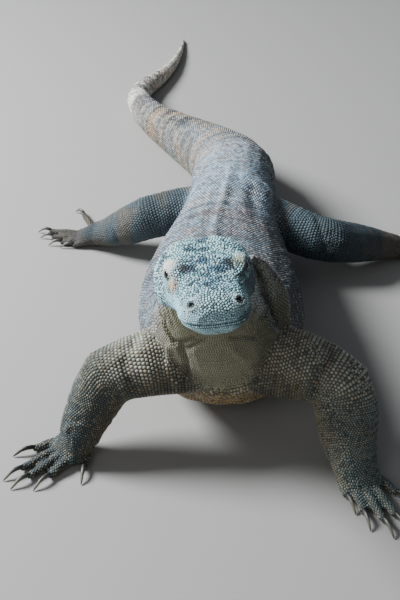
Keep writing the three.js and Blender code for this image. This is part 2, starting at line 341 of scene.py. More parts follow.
def smooth_line(stations, step=LINE_STEP):
    """A curve through the stations, given in mm, as points a step apart, in metres."""
    p = np.array(stations, float)
    p = np.concatenate([[2 * p[0] - p[1]], p, [2 * p[-1] - p[-2]]])
    fine = []
    for i in range(1, len(p) - 2):
        a, b, c, d = p[i - 1 : i + 3]
        for t in np.arange(16) / 16:
            curve = (2 * a - 5 * b + 4 * c - d) * t**2 + (3 * b - a - 3 * c + d) * t**3
            fine.append(0.5 * (2 * b + (c - a) * t + curve))
    fine = np.array(fine + [p[-2]])
    reach = stretch_of(fine)
    at = np.arange(0, reach[-1], step)
    return interp3(at, reach, fine) * MM


def along_line(points, line):
    """How far along the line the place nearest to each point is, in metres, and how far off the point is."""
    best = np.full(len(points), FAR)
    reach = np.zeros(len(points))
    start = 0
    for a, b in zip(line[:-1], line[1:]):
        step = b - a
        length = np.linalg.norm(step)
        t = np.clip(((points - a) @ step) / length**2, 0, 1)
        off = lengths(points - a - t[:, None] * step)
        nearer = off < best
        best[nearer] = off[nearer]
        reach[nearer] = start + t[nearer] * length
        start += length
    return reach, best


SPINE_LINE = smooth_line(SPINE)
LIMB_LINES = {name: smooth_line(stations) for name, stations in LIMBS.items()}


def line_of(region):
    """The spine's line, or that of the limb which the region belongs to."""
    if region in BODY:
        return SPINE_LINE
    return LIMB_LINES[region.replace("hand", "arm").replace("foot", "leg")]


def share(weight, *starts):
    """The weight of all regions whose names start so."""
    return sum(weight[:, i] for i, name in enumerate(REGIONS) if name.startswith(starts))


def by_part(weight, column):
    """A column of PARTS for each point, from its weights."""
    return sum(weight[:, i] * PARTS[part_of(name)][column] for i, name in enumerate(REGIONS))


def region_weights(region, edges, rounds):
    """The share of each region in each point, with the seams between them blended."""
    weight = spread(np.eye(len(REGIONS))[region], edges, 1, rounds)
    return weight / weight.sum(1)[:, None]


def ease(x, low, high):
    t = np.clip((x - low) / (high - low), 0, 1)
    return t * t * (3 - 2 * t)


def bell(x, width):
    return np.exp(-((x / width) ** 2))


def cloud(at, centre, size):
    """1 at the centre, fading out over that size along each axis."""
    return np.exp(-(((at - np.array(centre)) / size) ** 2).sum(1))


def mirrored(at):
    """The same points on the head's axes, all brought to its right side."""
    return np.abs(at * (1, 0, 0)) + at * (0, 1, 1)


def lattice(cell, seed):
    """A repeatable number from 0 to 1 for each whole-numbered cell."""
    x, y, z = (cell[:, i].astype(np.int64) & 0xFFFFF for i in range(3))
    n = (x * 73856093) ^ (y * 19349663) ^ (z * 83492791) ^ (seed * 2654435761)
    n = (n ^ (n >> 13)) * 1274126177 & 0xFFFFFFFF
    n = (n ^ (n >> 16)) * 668265263 & 0xFFFFFFFF
    return ((n ^ (n >> 15)) & 0xFFFFFF) / 0xFFFFFF


def mottle(points, size, seed, octaves=2):
    """Smooth noise from about -1 to 1, with blotches of that size in metres."""
    total = np.zeros(len(points))
    strength, norm = 1, 0
    for octave in range(octaves):
        p = points / size * 2**octave + 17.3 * (octave + 1)
        base = np.floor(p).astype(np.int64)
        t = p - base
        t = t * t * (3 - 2 * t)
        value = 0
        for corner in range(8):
            bit = np.array([(corner >> k) & 1 for k in range(3)])
            share = np.prod(np.where(bit, t, 1 - t), axis=1)
            value = value + share * lattice(base + bit, seed + 31 * octave)
        total += strength * (2 * value - 1)
        norm += strength
        strength *= 0.5
    return total / norm * 1.5


# ---- the skin

SKIN_VOXEL = 6.2 * MM
COAT_DEPTH = 1.1 * MM  # the skin lies this far inside the frame's solids

solid_points, solid_tri, solid_owner = joined(FLESH + list(EYES))
solid_region = np.array([REGIONS.index(region_of(n)) for n in FLESH + list(EYES)])[solid_owner]
solid_tree = BVHTree.FromPolygons(solid_points.tolist(), solid_tri.tolist())


def nearest_solid(points):
    found = [solid_tree.find_nearest(p) for p in points.tolist()]
    return np.array([f[0] for f in found]), solid_region[np.array([f[2] for f in found])]


def refined(points, tri, wanted):
    """Splits the wanted triangles in four, and their neighbours so that no gap opens."""
    count = len(points)
    sides = np.sort(np.stack([tri[:, [0, 1]], tri[:, [1, 2]], tri[:, [2, 0]]], 1), axis=2)
    key = sides[..., 0] * count + sides[..., 1]
    cut = np.unique(key[wanted])
    at = np.minimum(np.searchsorted(cut, key), len(cut) - 1)
    is_cut = cut[at] == key
    mid = count + at
    points = np.concatenate([points, (points[cut // count] + points[cut % count]) / 2])
    times = is_cut.sum(1)
    faces = [tri[times == 0]]
    a, b, c = tri[times == 3].T
    m, n, o = mid[times == 3].T
    faces += [np.stack(f, 1) for f in ((a, m, o), (m, b, n), (o, n, c), (m, n, o))]
    for turn in range(3):
        order = [(turn + k) % 3 for k in range(3)]
        one = (times == 1) & is_cut[:, turn]
        a, b, c = tri[one][:, order].T
        m = mid[one][:, turn]
        faces += [np.stack(f, 1) for f in ((a, m, c), (m, b, c))]
        two = (times == 2) & ~is_cut[:, order[2]]
        a, b, c = tri[two][:, order].T
        m, n = mid[two][:, order[0]], mid[two][:, order[1]]
        faces += [np.stack(f, 1) for f in ((m, b, n), (a, m, n), (a, n, c))]
    return points, np.concatenate(faces)


def wrapped_flesh():
    blank = linked("blank", mesh_from("blank", solid_points, solid_tri))
    remesh = blank.modifiers.new("remesh", "REMESH")
    remesh.mode = "VOXEL"
    remesh.voxel_size = SKIN_VOXEL
    evaluated = blank.evaluated_get(bpy.context.evaluated_depsgraph_get())
    points, tri = triangles_of(bpy.data.meshes.new_from_object(evaluated))
    bpy.data.objects.remove(blank)
    return biggest_island(points, tri)


def in_regions(region, *starts):
    wanted = [i for i, name in enumerate(REGIONS) if name.startswith(starts)]
    return np.isin(region, wanted)


points, tri = wrapped_flesh()
_, region = nearest_solid(points)
points, tri = refined(points, tri, in_regions(region, "head", "hand", "foot")[tri].any(1))
home, region = nearest_solid(points)
fine_part = in_regions(region, "head", "hand", "foot")
points[fine_part] = home[fine_part]
rate = np.array([PARTS[part_of(name)][SMOOTHING] for name in REGIONS])[region]
rate = spread(rate[:, None], edges_of(tri), 1, 12)
points = spread(points, edges_of(tri), rate, 36, back=-0.53)

# ---- finer still where the head's features are

EYE_OUT = (0.93, 0.3, 0.2)  # the way an eye looks, from the head
LID_HEIGHT = 2.2  # mm, of the lids over the eye, and as deep as the skin goes behind it
EYE_OPENING = (42, 28)  # half the lids' opening along and across, degrees seen from the eye's middle
NOSTRIL = (31, 206, 12)
EAR = (84, 22, 6)
CHEEK_FOLD = (57, 129, 22)
MOUTH = ((72, 110, 150, 200, 240), (-17, -15, -12.5, -10, -8.5))  # forward, up


def on_side(place, side):
    """A place on the head's right for side 1, and its mirror image for -1."""
    return np.array((side * place[0], place[1], place[2]))


def mouth_height(forward):
    return np.interp(forward, *MOUTH)


def eye_measure(at, side):
    """1 along the edge of the lids' opening and less inside it; the way out from the eye's middle, the distance
    from there, and that middle."""
    middle_at = on_side(EYE, side)
    out = unit(on_side(EYE_OUT, side))
    ahead = unit(np.array((0, 1, 0)) - out[1] * out)
    up = np.cross(out, ahead)
    up *= np.sign(up[2])
    offset = at - middle_at
    distance = lengths(offset)
    way = offset / np.maximum(distance, 1e-6)[:, None]
    facing = way @ out
    along, across = (np.degrees(np.arctan2(way @ axis, facing)) for axis in (ahead, up))
    measure = np.hypot(along / EYE_OPENING[0], across / EYE_OPENING[1])
    return np.where(facing > 0.05, measure, 9), way, distance, middle_at


def feature_distance(at):
    """How far each point, in mm on the head's axes, is from the nearest eye, nostril, ear or the mouth."""
    near = np.full(len(at), FAR)
    for centre, reach in ((EYE, 21), (NOSTRIL, 12), (EAR, 12)):
        near = np.minimum(near, lengths(mirrored(at) - centre) - reach)
    mouth = np.abs(at[:, 2] - mouth_height(at[:, 1])) - 5 + 99 * (at[:, 1] < 66)
    return np.minimum(near, mouth)


home, region = nearest_solid(points)
at = to_head(points)
close = (feature_distance(at) < 0) & in_regions(region, "head")
points, tri = refined(points, tri, close[tri].any(1))
home, region = nearest_solid(points)
edges = edges_of(tri)
at = to_head(points)

# ---- sculpting


skin_tree = BVHTree.FromPolygons(points.tolist(), tri.tolist())
HOLES = [
    (to_head(np.array(skin_tree.find_nearest(from_head(on_side(place, side)).tolist())[0])), *sizes)
    for place, *sizes in (
        # its shape; the rim's height, distance and half width, mm; how deep and how wide it is; how far
        # round it no scale grows, and how far it is painted dark as shade
        (NOSTRIL, (1, 1.2, 0.8), (1.8, 8.6, 2.4), 8, 5.2, 6.3, 6),
        (EAR, (1, 0.7, 1.35), (1.4, 9, 3), 6, 6.2, 6, 6.8),
    )
    for side in (1, -1)
]


def swell(at, centre, size, height):
    """A soft rise of that height, in mm, round a place on the head and its mirror image."""
    return height * cloud(mirrored(at), centre, size)


on_head = spread(in_regions(region, "head").astype(float)[:, None], edges, 1, 6)[:, 0]
rise = np.zeros(len(points))
for centre, size, height in (
    ((46, 104, 48), (14, 30, 12), 4),  # brow
    ((40, 160, 34), (8, 34, 9), 2.6),  # ridge from brow to nostril
    ((0, 150, 36), (20, 34, 12), -2.2),  # hollow along the snout
    ((56, 142, 12), (14, 20, 10), -2.6),  # hollow in front of the eye
    ((34, 30, 46), (22, 34, 20), 3),  # jaw muscle behind the brow
    ((0, 40, 50), (12, 50, 20), -2.4),  # groove between the muscles
    ((80, 52, -22), (24, 30, 20), 3),  # jowl
    ((72, 74, 2), (20, 16, 12), -1.8),  # hollow under the eye
    ((30, 206, 14), (13, 15, 12), 3),  # nose
    ((30, 6, 50), (44, 30, 26), 5),  # back of the crown
    ((47, 194, -4), (16, 30, 16), 4.5),  # sides of the muzzle
    ((14, 208, -30), (34, 30, 14), 4.5),  # chin
    ((74, 62, -30), (14, 17, 14), 5),  # corner of the mouth
):
    rise += swell(at, centre, size, height)
rise += 3 * cloud(at, (-58, 26, 40), (20, 34, 20))  # the jaw muscle at the photo's left
for side, high in ((1, 1), (-1, 0.6)):
    fold = lengths((at - np.array(CHEEK_FOLD) * (side, 1, 1)) / (9, 7, 12))
    rise += high * (2.8 * bell(fold, 0.8) - 1.6 * bell(fold - 1.35, 0.3))
from_mouth = at[:, 2] - mouth_height(at[:, 1])
mouth_share = ease(at[:, 1], 66, 84)
rise += mouth_share * (bell(np.abs(from_mouth) - 5, 3.2) - 2.2 * bell(from_mouth, 1.3))
rise -= 2 * bell(at[:, 1] - 62, 7) * bell(at[:, 2] + 17, 9)
for hole, shape, (rim, rim_at, rim_width), deep, wide, _, _ in HOLES:
    away = lengths((at - hole) / shape)
    rise += rim * bell(away - rim_at, rim_width) - deep * np.exp(-((away / wide) ** 4))
rise *= on_head

# folds of loose skin on the neck, throat and chest, and the hollows of the trunk: mm, in the world's axes
NECK_CREASE = (
    (-22, -790, 400), (-8, -780, 372), (0, -778, 345), (5, -775, 325), (12, -775, 300), (18, -775, 280),
    (26, -778, 262),
)  # fmt: skip
FOLDS = (
    # path, height of the fold or depth of the crease, half width
    (((-176, -806, 300), (-170, -815, 288), (-155, -830, 256)), -12, 5),
    (((-164, -820, 243), (-164, -825, 216), (-162, -835, 192), (-152, -838, 174)), 7.5, 6),
    (((-152, -838, 172), (-140, -834, 186)), 6, 6),
    (((-145, -836, 259), (-139, -838, 238), (-133, -839, 218), (-134, -834, 184)), -10, 7),
    (((-143, -838, 266), (-117, -853, 289)), -7, 3.5),
    (((-135, -843, 253), (-105, -856, 287)), -5.5, 3.5),
    (((-119, -850, 258), (-101, -845, 201)), 3, 7),
    (((-56, -854, 272), (-20, -840, 208)), 4, 7),
    (((-58, -853, 290), (-34, -845, 284), (-12, -828, 270)), -5, 4),
    (((-2, -818, 276), (4, -829, 246), (22, -831, 204)), -3.5, 8),
    (((-48, -854, 256), (-22, -842, 228)), 3, 5),
    (((28, -800, 236), (26, -832, 191)), 6, 8),
    (NECK_CREASE, -8, 6),
    (((-246, -826, 212), (-240, -839, 199), (-227, -847, 164)), -7, 9),
    (((-200, -780, 232), (-205, -820, 222), (-196, -845, 190)), 6.5, 20),
    (((-225, -785, 232), (-228, -800, 230)), -4, 12),
    (((-290, -800, 200), (-305, -820, 170), (-318, -838, 140)), 3, 24),
    (((126, -780, 226), (126, -812, 218), (106, -842, 200), (97, -856, 165)), -10, 7.5),
    (((108, -868, 140), (104, -878, 112)), 5, 18),
    (((84, -790, 226), (84, -830, 210), (70, -850, 180)), 4, 22),
    (((150, -820, 206), (160, -850, 180), (166, -868, 140)), 5, 24),
    (((-312, -150, 100), (-306, -186, 90), (-300, -204, 52)), -3.5, 6),
    (((-246, -170, 150), (-246, -198, 131)), 5, 26),
    (((-200, -165, 160), (-204, -212, 118)), -2, 14),
    (((150, -240, 150), (160, -284, 133), (170, -303, 92)), -4.5, 7),
    (((196, -262, 130), (210, -284, 110)), 4, 24),
    (((-35, -130, 210), (-52, -258, 230), (-66, -340, 236), (-76, -430, 240), (-78, -520, 246)), 5, 9),
    (((4, -258, 214), (12, -312, 214)), -7, 22),
    (((-40, -270, 226), (-52, -330, 232)), -3, 14),
    (((-4, -190, 216), (16, -205, 212)), 5, 14),
    (((44, -196, 186), (36, -232, 196)), 9, 24),
    (((-86, -196, 186), (-92, -232, 196)), 7, 24),
)
NECK_BULGE = (((-30, -806, 384), (-14, -792, 340), (4, -786, 296), (14, -790, 262)), 8, 26)


def path_bell(points, path, width):
    line = smooth_line(path, 4)
    return bell(along_line(points, line)[1] / MM, width)


for path, height, width in FOLDS + (NECK_BULGE,):
    rise += height * path_bell(points, path, width) * (1 - 0.85 * on_head)
normals = normals_of(points, tri)
body_weight = region_weights(region, edges, 20)
neck_share, arm_share, leg_share, trunk_share = (
    share(body_weight, name) for name in ("neck", "arm", "leg", "trunk")
)


def wrinkles(place, size, wander, seed):
    """Rounded ridges with sharp valleys, size mm apart along the given measure in mm."""
    phase = place / size + wander * mottle(points, 0.05, seed)
    return 2 * np.abs(np.sin(math.pi * phase)) - 1.1


sideways = np.abs(normals[:, 0])
spine_along = along_line(points, SPINE_LINE)[0] / MM
limb_along = np.zeros(len(points))
for limb, line in LIMB_LINES.items():
    here = region == REGIONS.index(limb)
    limb_along[here] = along_line(points[here], line)[0] / MM
neck_side = ease(sideways, 0.45, 0.9) * neck_share
rise += 2.2 * neck_side * wrinkles(points[:, 0] / MM + 0.25 * points[:, 2] / MM, 15, 0.9, 71)
flank = ease(sideways, 0.35, 0.9) * trunk_share
rise += 1.3 * flank * wrinkles(spine_along, 34, 1.2, 73)
rise += 2 * arm_share * wrinkles(limb_along, 17, 0.9, 75) * ease(mottle(points, 0.09, 76), -0.4, 0.6)
rise += 0.7 * leg_share * wrinkles(limb_along, 19, 0.6, 77) * ease(mottle(points, 0.09, 78), -0.4, 0.6)
points = points + normals * (rise * MM)[:, None]

at = to_head(points)
for side in (1, -1):
    measure, way, distance, middle_at = eye_measure(at, side)
    lid = -LID_HEIGHT + 2 * LID_HEIGHT * ease(measure, 0.9, 1.12)
    lid = lid - 1.3 * bell(measure - 1.62, 0.13) + 0.9 * bell(measure - 1.95, 0.25)
    hold = (1 - ease(measure, 1.35, 2.3)) * (1 - ease(distance, 1.5 * EYE_RADIUS, 2.4 * EYE_RADIUS)) * on_head
    goal = middle_at + way * (EYE_RADIUS + lid)[:, None]
    at = at + (goal - at) * hold[:, None]
points = np.where((on_head > 0)[:, None], from_head(at), points)
near_eye = np.zeros(len(points))
for side in (1, -1):
    measure, _, distance, _ = eye_measure(to_head(points), side)
    near_eye = np.maximum(near_eye, ease(measure, 1.15, 1.4) * (distance < 2.6 * EYE_RADIUS) * (measure < 8))
points = spread(points, edges, near_eye, 4)
skin_normals = normals_of(points, tri)
points = points - skin_normals * COAT_DEPTH


# ---- where things are on the skin


def paw_of(kind, side):
    return ("hand_" if kind in ("fore", "arm") else "foot_") + side


def claw_ends(name):
    """The root and the tip of a claw, seen from the middle of its hand or foot."""
    paw = middle(paw_of(*name.split("_")[1:3]))
    some = triangles_of(NODES[name].data)[0]
    tip = some[lengths((some - paw)[:, :2]).argmax()]
    reach = lengths(some - tip)
    return some[reach > 0.88 * reach.max()].mean(0), tip


CLAW_ENDS = {name: claw_ends(name) for name in CLAWS}
TOE_LINES = {}
for name, (claw_root, claw_tip) in CLAW_ENDS.items():
    sole_at = line_of(paw_of(*name.split("_")[1:3]))[-1]
    start = sole_at + 0.2 * (claw_root - sole_at)
    reach = np.linspace(0, 1, 12)[:, None]
    line = start + (claw_root - start) * reach
    line[:, 2] = start[2] * (1 - reach[:, 0]) + claw_root[2] * reach[:, 0] - 1.5 * MM
    TOE_LINES[name] = line

edges = edges_of(tri)
skin_normals = normals_of(points, tri)
_, region = nearest_solid(points)
weight = region_weights(region, edges, 14)
skin_tree = BVHTree.FromPolygons(points.tolist(), tri.tolist())
tri_region = region[tri[:, 0]]


# ---- the size of the scales over the skin, mm from one to the next

BODY_GRAIN, NECK_GRAIN, THROAT_GRAIN, TAIL_GRAIN = 6.5, 6, 4.3, 6
SHOULDER_GRAIN, WRIST_GRAIN, TOE_GRAIN = 6.3, 4.5, 4.4
CROWN_GRAIN, FACE_GRAIN, LID_GRAIN, LIP_GRAIN, CHEEK_GRAIN = 5, 4.7, 2.8, 3.4, 3.8
FINE_PLACES = (  # a place, where finer scales start and end round it, and their size, mm
    (EYE, 15, 26, LID_GRAIN), (NOSTRIL, 11, 19, 2.6), (EAR, 8, 18, 4.2), (CHEEK_FOLD, 8, 18, 3.2),
)  # fmt: skip


def grain_at(points, normals, weight):
    at = to_head(points)
    limb_grain = WRIST_GRAIN + (SHOULDER_GRAIN - WRIST_GRAIN) * ease(points[:, 2], 0.08, 0.2)
    grain = (
        BODY_GRAIN * share(weight, "trunk")
        + NECK_GRAIN * share(weight, "neck")
        + TAIL_GRAIN * share(weight, "tail")
        + limb_grain * share(weight, "arm", "leg")
        + TOE_GRAIN * share(weight, "hand", "foot")
        + (CROWN_GRAIN - (CROWN_GRAIN - FACE_GRAIN) * ease(at[:, 1], 110, 190)) * share(weight, "head")
    )
    throat = ease(-normals[:, 1] - 0.5 * normals[:, 2], 0.1, 0.7) * share(weight, "neck")
    grain += (THROAT_GRAIN - NECK_GRAIN) * throat
    on_head = share(weight, "head")
    under = on_head * ease(mouth_height(at[:, 1]) - at[:, 2], 4, 26)
    grain += (THROAT_GRAIN - grain) * under
    for centre, near, far, small in FINE_PLACES:
        away = lengths(mirrored(at) - centre)
        grain += (np.minimum(small, grain) - grain) * (1 - ease(away, near, far)) * on_head
    from_mouth = np.abs(at[:, 2] - mouth_height(at[:, 1]) - 2)
    sides = ease(18 - at[:, 2], 0, 12) * ease(at[:, 1], 96, 124) * on_head
    grain += (np.minimum(CHEEK_GRAIN, grain) - grain) * sides
    lip = (1 - ease(from_mouth, 7, 22)) * ease(at[:, 1], 80, 130) * on_head
    grain += (np.minimum(LIP_GRAIN, grain) - grain) * lip
    return grain


skin_grain = grain_at(points, skin_normals, weight)

# ---- rows of scale roots along the spine, the limbs and the toes


class Roots:
    """Scale roots found so far: where they are and which way is back along the body."""

    def __init__(self):
        self.at, self.back, self.row = [], [], []

    def add(self, at, back, row):
        self.at.append(at)
        self.back.append(back)
        self.row.append(np.full(len(at), row))


def rays_round(centre, way, up, count):
    """Where rays from a place on a line leave the skin, from the top round to the underside on each side."""
    top = unit(up - (up @ way) * way)
    side = np.cross(way, top)
    halves = []
    for hand in (1, -1):
        hits, faces = [], []
        for angle in np.linspace(0, math.pi, count):
            ray = math.cos(angle) * top + hand * math.sin(angle) * side
            hit, _, face, _ = skin_tree.ray_cast(centre.tolist(), ray.tolist())
            hits.append(hit if hit else centre)
            faces.append(-1 if face is None else face)
        halves.append((np.array(hits), np.array(faces)))
    return halves


def lay_rows(roots, line, wanted, pitch, count, up=UP, keep=None, squeeze=0.9, wide=1):
    """Rows across the line, brickwise. pitch gives the spacing in mm at a share of the line's length, squeeze
    how much closer the rows lie, and wide how much more a scale takes along its row."""
    reach = stretch_of(line)
    ways = np.gradient(line, axis=0)
    ways = spread(ways, np.stack([np.arange(len(line) - 1), np.arange(1, len(line))], 1), 1, 8)
    ways /= lengths(ways)[:, None]
    s, row = 0, 0
    up = np.array(up, float)
    while s < reach[-1]:
        centre = interp3(s, reach, line)
        way = unit(interp3(s, reach, ways))
        step = pitch(s / reach[-1]) * MM
        for hits, faces in rays_round(centre, way, up, count):
            run = lengths(np.diff(hits, axis=0))
            length = np.concatenate([[0], np.cumsum(run)])
            places = np.arange(0.5 * (row % 2), length[-1] / step / wide + TINY, 1) * step * wide
            at = interp3(places, length, hits)
            segment = np.clip(np.searchsorted(length, places, side="right") - 1, 0, len(run) - 1)
            fine = (faces[segment] >= 0) & (faces[segment + 1] >= 0)
            fine &= in_regions(tri_region[faces[segment]], *wanted)
            fine &= run[segment] < 6 * length[-1] / len(run)
            if keep is not None:
                fine &= keep(at)
            roots.add(at[fine], np.broadcast_to(way, at.shape)[fine], row)
        s += step * squeeze
        row += 1


roots = Roots()
THROAT_END = 90  # steps along the spine line where the throat's finer rows stop


def on_the_throat(at):
    """In front of the neck's own line, where the hide is fine and loose."""
    neck_line = SPINE_LINE[:THROAT_END][::-1]
    return at[:, 1] < np.interp(at[:, 2], neck_line[:, 2], neck_line[:, 1]) - 0.035


before = [SPINE_LINE[:1] + (SPINE_LINE[:1] - SPINE_LINE[1:2]) * steps for steps in (16, 12, 8, 4)]
throat_line = np.concatenate([*before, SPINE_LINE[:THROAT_END]])
lay_rows(roots, throat_line, ("neck",), lambda t: THROAT_GRAIN, 120, keep=on_the_throat)
lay_rows(
    roots, SPINE_LINE, BODY, lambda t: BODY_GRAIN if 0.12 < t < 0.5 else NECK_GRAIN, 90,
    keep=lambda at: ~on_the_throat(at) | (at[:, 2] < SPINE_LINE[THROAT_END, 2]),
)  # fmt: skip


def limb_pitch(t):
    return SHOULDER_GRAIN + (WRIST_GRAIN - SHOULDER_GRAIN) * ease(t, 0.3, 0.75)


for limb, line in LIMB_LINES.items():
    part, side = limb.split("_")
    lay_rows(roots, line, (limb, paw_of(part, side)), limb_pitch, 60, wide=1.12)


def nearest_toe(at, paw):
    """The number of the paw's toe that each point is nearest to."""
    numbers = [n for n, name in enumerate(TOE_LINES) if paw_of(*name.split("_")[1:3]) == paw]
    off = [along_line(at, list(TOE_LINES.values())[n])[1] for n in numbers]
    return np.array(numbers)[np.argmin(off, axis=0)]


toe_roots = Roots()
for number, (name, line) in enumerate(TOE_LINES.items()):
    paw = paw_of(*name.split("_")[1:3])
    lay_rows(
        toe_roots, line[2:], (paw,), lambda t: TOE_GRAIN, 20, squeeze=0.85, wide=1.35,
        keep=lambda at, number=number, paw=paw: nearest_toe(at, paw) == number,
    )  # fmt: skip

# ---- rows along the lips

LIP_ROWS = (2, 5.3)  # mm above and below the mouth line
LIP_PITCH = 3.5


def lip_row(offset):
    """Places round the lips, that far above the mouth line: up one side, round the snout and back."""
    rays = [(forward, 0) for forward in np.arange(76, 150, 1.5)]
    rays += [(150, turn) for turn in np.arange(0, 181, 2)]
    rays += [(forward, 180) for forward in np.arange(148.5, 76, -1.5)]
    hits = []
    for forward, turn in rays:
        turn = math.radians(turn)
        way = HEAD_TURN @ (math.cos(turn), math.sin(turn), 0)
        origin = np.array((0, forward, mouth_height(forward + 70 * math.sin(turn)) + offset))
        hit = skin_tree.ray_cast(from_head(origin).tolist(), way.tolist())[0]
        if hit is not None:
            hits.append(hit)
    return np.array(hits)


lip_roots = Roots()
for number, offset in enumerate(LIP_ROWS):
    for sign in (1, -1):
        hits = lip_row(sign * offset)
        length = stretch_of(hits)
        places = np.arange(0.5 * (number % 2), length[-1] / (LIP_PITCH * MM), 1) * LIP_PITCH * MM
        at = interp3(places, length, hits)
        lip_roots.add(at, np.broadcast_to(-HEAD_TURN[:, 1], at.shape), number)


def on_skin(at):
    """Each point put on the skin, with the skin's normal there and the nearest of its points."""
    found = [skin_tree.find_nearest(p) for p in at.tolist()]
    spot = np.array([f[0] for f in found])
    face = np.array([f[2] for f in found])
    corners = tri[face]
    closeness = 1 / (lengths(points[corners] - spot[:, None]) + 0.2 * MM)
    closeness /= closeness.sum(1)[:, None]
    normal = (skin_normals[corners] * closeness[:, :, None]).sum(1)
    normal /= lengths(normal)[:, None]
    return spot, normal, corners, closeness


def from_skin(values, corners, closeness):
    values = values.reshape(len(values), -1)
    return (values[corners] * closeness[:, :, None]).sum(1).squeeze()


def kd(at):
    tree = KDTree(len(at))
    for number, p in enumerate(at.tolist()):
        tree.insert(p, number)
    tree.balance()
    return tree


def thinned(at, grain, closest):
    """Keeps each root unless an earlier one is nearer than that share of the grain."""
    tree = kd(at)
    alive = np.ones(len(at), bool)
    for number, p in enumerate(at.tolist()):
        if alive[number]:
            for _, other, _ in tree.find_range(p, closest * grain[number] * MM):
                if other > number:
                    alive[other] = False
    return alive


def bare(at):
    """Where nothing grows: in the lids' opening, the nostrils, the ears and the mouth."""
    head_at = to_head(at)
    none = np.zeros(len(at), bool)
    for side in (1, -1):
        measure, _, distance, _ = eye_measure(head_at, side)
        none |= (measure < 1.1) & (distance < 1.6 * EYE_RADIUS)
    for hole, shape, *_, free, _ in HOLES:
        none |= lengths((head_at - hole) / shape) < free
    from_mouth = np.abs(head_at[:, 2] - mouth_height(head_at[:, 1]))
    return none | ((from_mouth < 1.2) & (head_at[:, 1] > 74) & (np.abs(head_at[:, 0]) < 110))


row_at = np.concatenate(lip_roots.at + toe_roots.at + roots.at)
row_back = np.concatenate(lip_roots.back + toe_roots.back + roots.back)
row_number = np.concatenate(lip_roots.row + toe_roots.row + roots.row)
spot, normal, corners, closeness = on_skin(row_at)
grain = from_skin(skin_grain, corners, closeness)
ROW_CLOSEST = 0.66
keep = thinned(spot, grain, ROW_CLOSEST) & ~bare(spot)
spot, normal, grain, back, row_number = (v[keep] for v in (spot, normal, grain, row_back, row_number))

# ---- roots between the rows and over the head, spread evenly

chance = np.random.default_rng(11)
FILL_TRIES = 260000
FILL_CLOSEST = 0.8  # of the grain
HEAD_TRIES = 8  # times as many tries on the head as its area asks for
RELAX_ROUNDS, RELAX_STEP, RELAX_REACH = 5, 0.22, 1.1
area = lengths(crosses(points, tri))
wanting = area / skin_grain[tri[:, 0]] ** 2 * np.where(in_regions(tri_region, "head"), HEAD_TRIES, 1)
face = chance.choice(len(tri), FILL_TRIES, p=wanting / wanting.sum())
mix = chance.random((FILL_TRIES, 2))
mix[mix.sum(1) > 1] = 1 - mix[mix.sum(1) > 1]
share_of = np.stack([1 - mix.sum(1), mix[:, 0], mix[:, 1]], 1)
tries = (points[tri[face]] * share_of[:, :, None]).sum(1)
tries_grain = (skin_grain[tri[face]] * share_of).sum(1)
tree = kd(spot)
free = np.array([tree.find(p)[2] > FILL_CLOSEST * g * MM for p, g in zip(tries.tolist(), tries_grain)])
free &= ~bare(tries)
tries, tries_grain = tries[free], tries_grain[free]
new = thinned(tries, tries_grain, FILL_CLOSEST)
tries, tries_grain = tries[new], tries_grain[new]

for _ in range(RELAX_ROUNDS):
    every = np.concatenate([tries, spot])
    tree = kd(every)
    push = np.zeros_like(tries)
    for number, p in enumerate(tries.tolist()):
        near = tree.find_n(p, 8)[1:]
        reach = tries_grain[number] * MM * RELAX_REACH
        here = tries[number]
        for _, other, distance in near:
            if 0 < distance < reach:
                push[number] += (here - every[other]) / distance * (reach - distance)
    tries = tries + RELAX_STEP * push
    tries, tries_normal, corners, closeness = on_skin(tries)
    tries_grain = from_skin(skin_grain, corners, closeness)
fine = ~bare(tries)
tries, tries_normal, tries_grain = tries[fine], tries_normal[fine], tries_grain[fine]

# the lie of the coat between the rows follows the nearest line
tries_region = nearest_solid(tries)[1]
tries_back = np.zeros_like(tries)
for number, name in enumerate(REGIONS):
    here = tries_region == number
    if name == "head":
        tries_back[here] = -HEAD_TURN[:, 1]
        continue
    line = line_of(name)
    index = np.searchsorted(stretch_of(line), along_line(tries[here], line)[0]).clip(1, len(line) - 1)
    tries_back[here] = line[index] - line[index - 1]

root = np.concatenate([spot, tries])
root_normal = np.concatenate([normal, tries_normal])
root_grain = np.concatenate([grain, tries_grain])
root_back = np.concatenate([back, tries_back])
root_row = np.concatenate([row_number, chance.integers(0, 50, len(tries))])
root_back = root_back - (root_back * root_normal).sum(1)[:, None] * root_normal
root_back /= np.maximum(lengths(root_back), TINY)[:, None]
root, root_normal, corners, closeness = on_skin(root)
root_weight = from_skin(weight, corners, closeness)
root_region = weight[corners[:, 0]].argmax(1)

# ---- the cells of the scales



root_gap, root_plump, root_edge_shade, root_rowed = (by_part(root_weight, c) for c in (GAP, PLUMP, EDGE_SHADE, ROWED))
on_throat = ease(-root_normal[:, 1], 0.1, 0.6) * share(root_weight, "neck")
root_gap *= 1 - 0.5 * on_throat
root_edge_shade += (0.75 - root_edge_shade) * on_throat
root_plump *= 1 - 0.5 * on_throat
small = ease(5 - root_grain, 0, 1.4) * share(root_weight, "head")
root_gap *= 1 - 0.7 * small
root_edge_shade += (0.62 - root_edge_shade) * 0.85 * small
low_arm = share(root_weight, "arm") * ease(0.16 - root[:, 2], 0, 0.06)
root_edge_shade += (0.55 - root_edge_shade) * 0.7 * low_arm
root_plump *= 1 - 0.25 * small

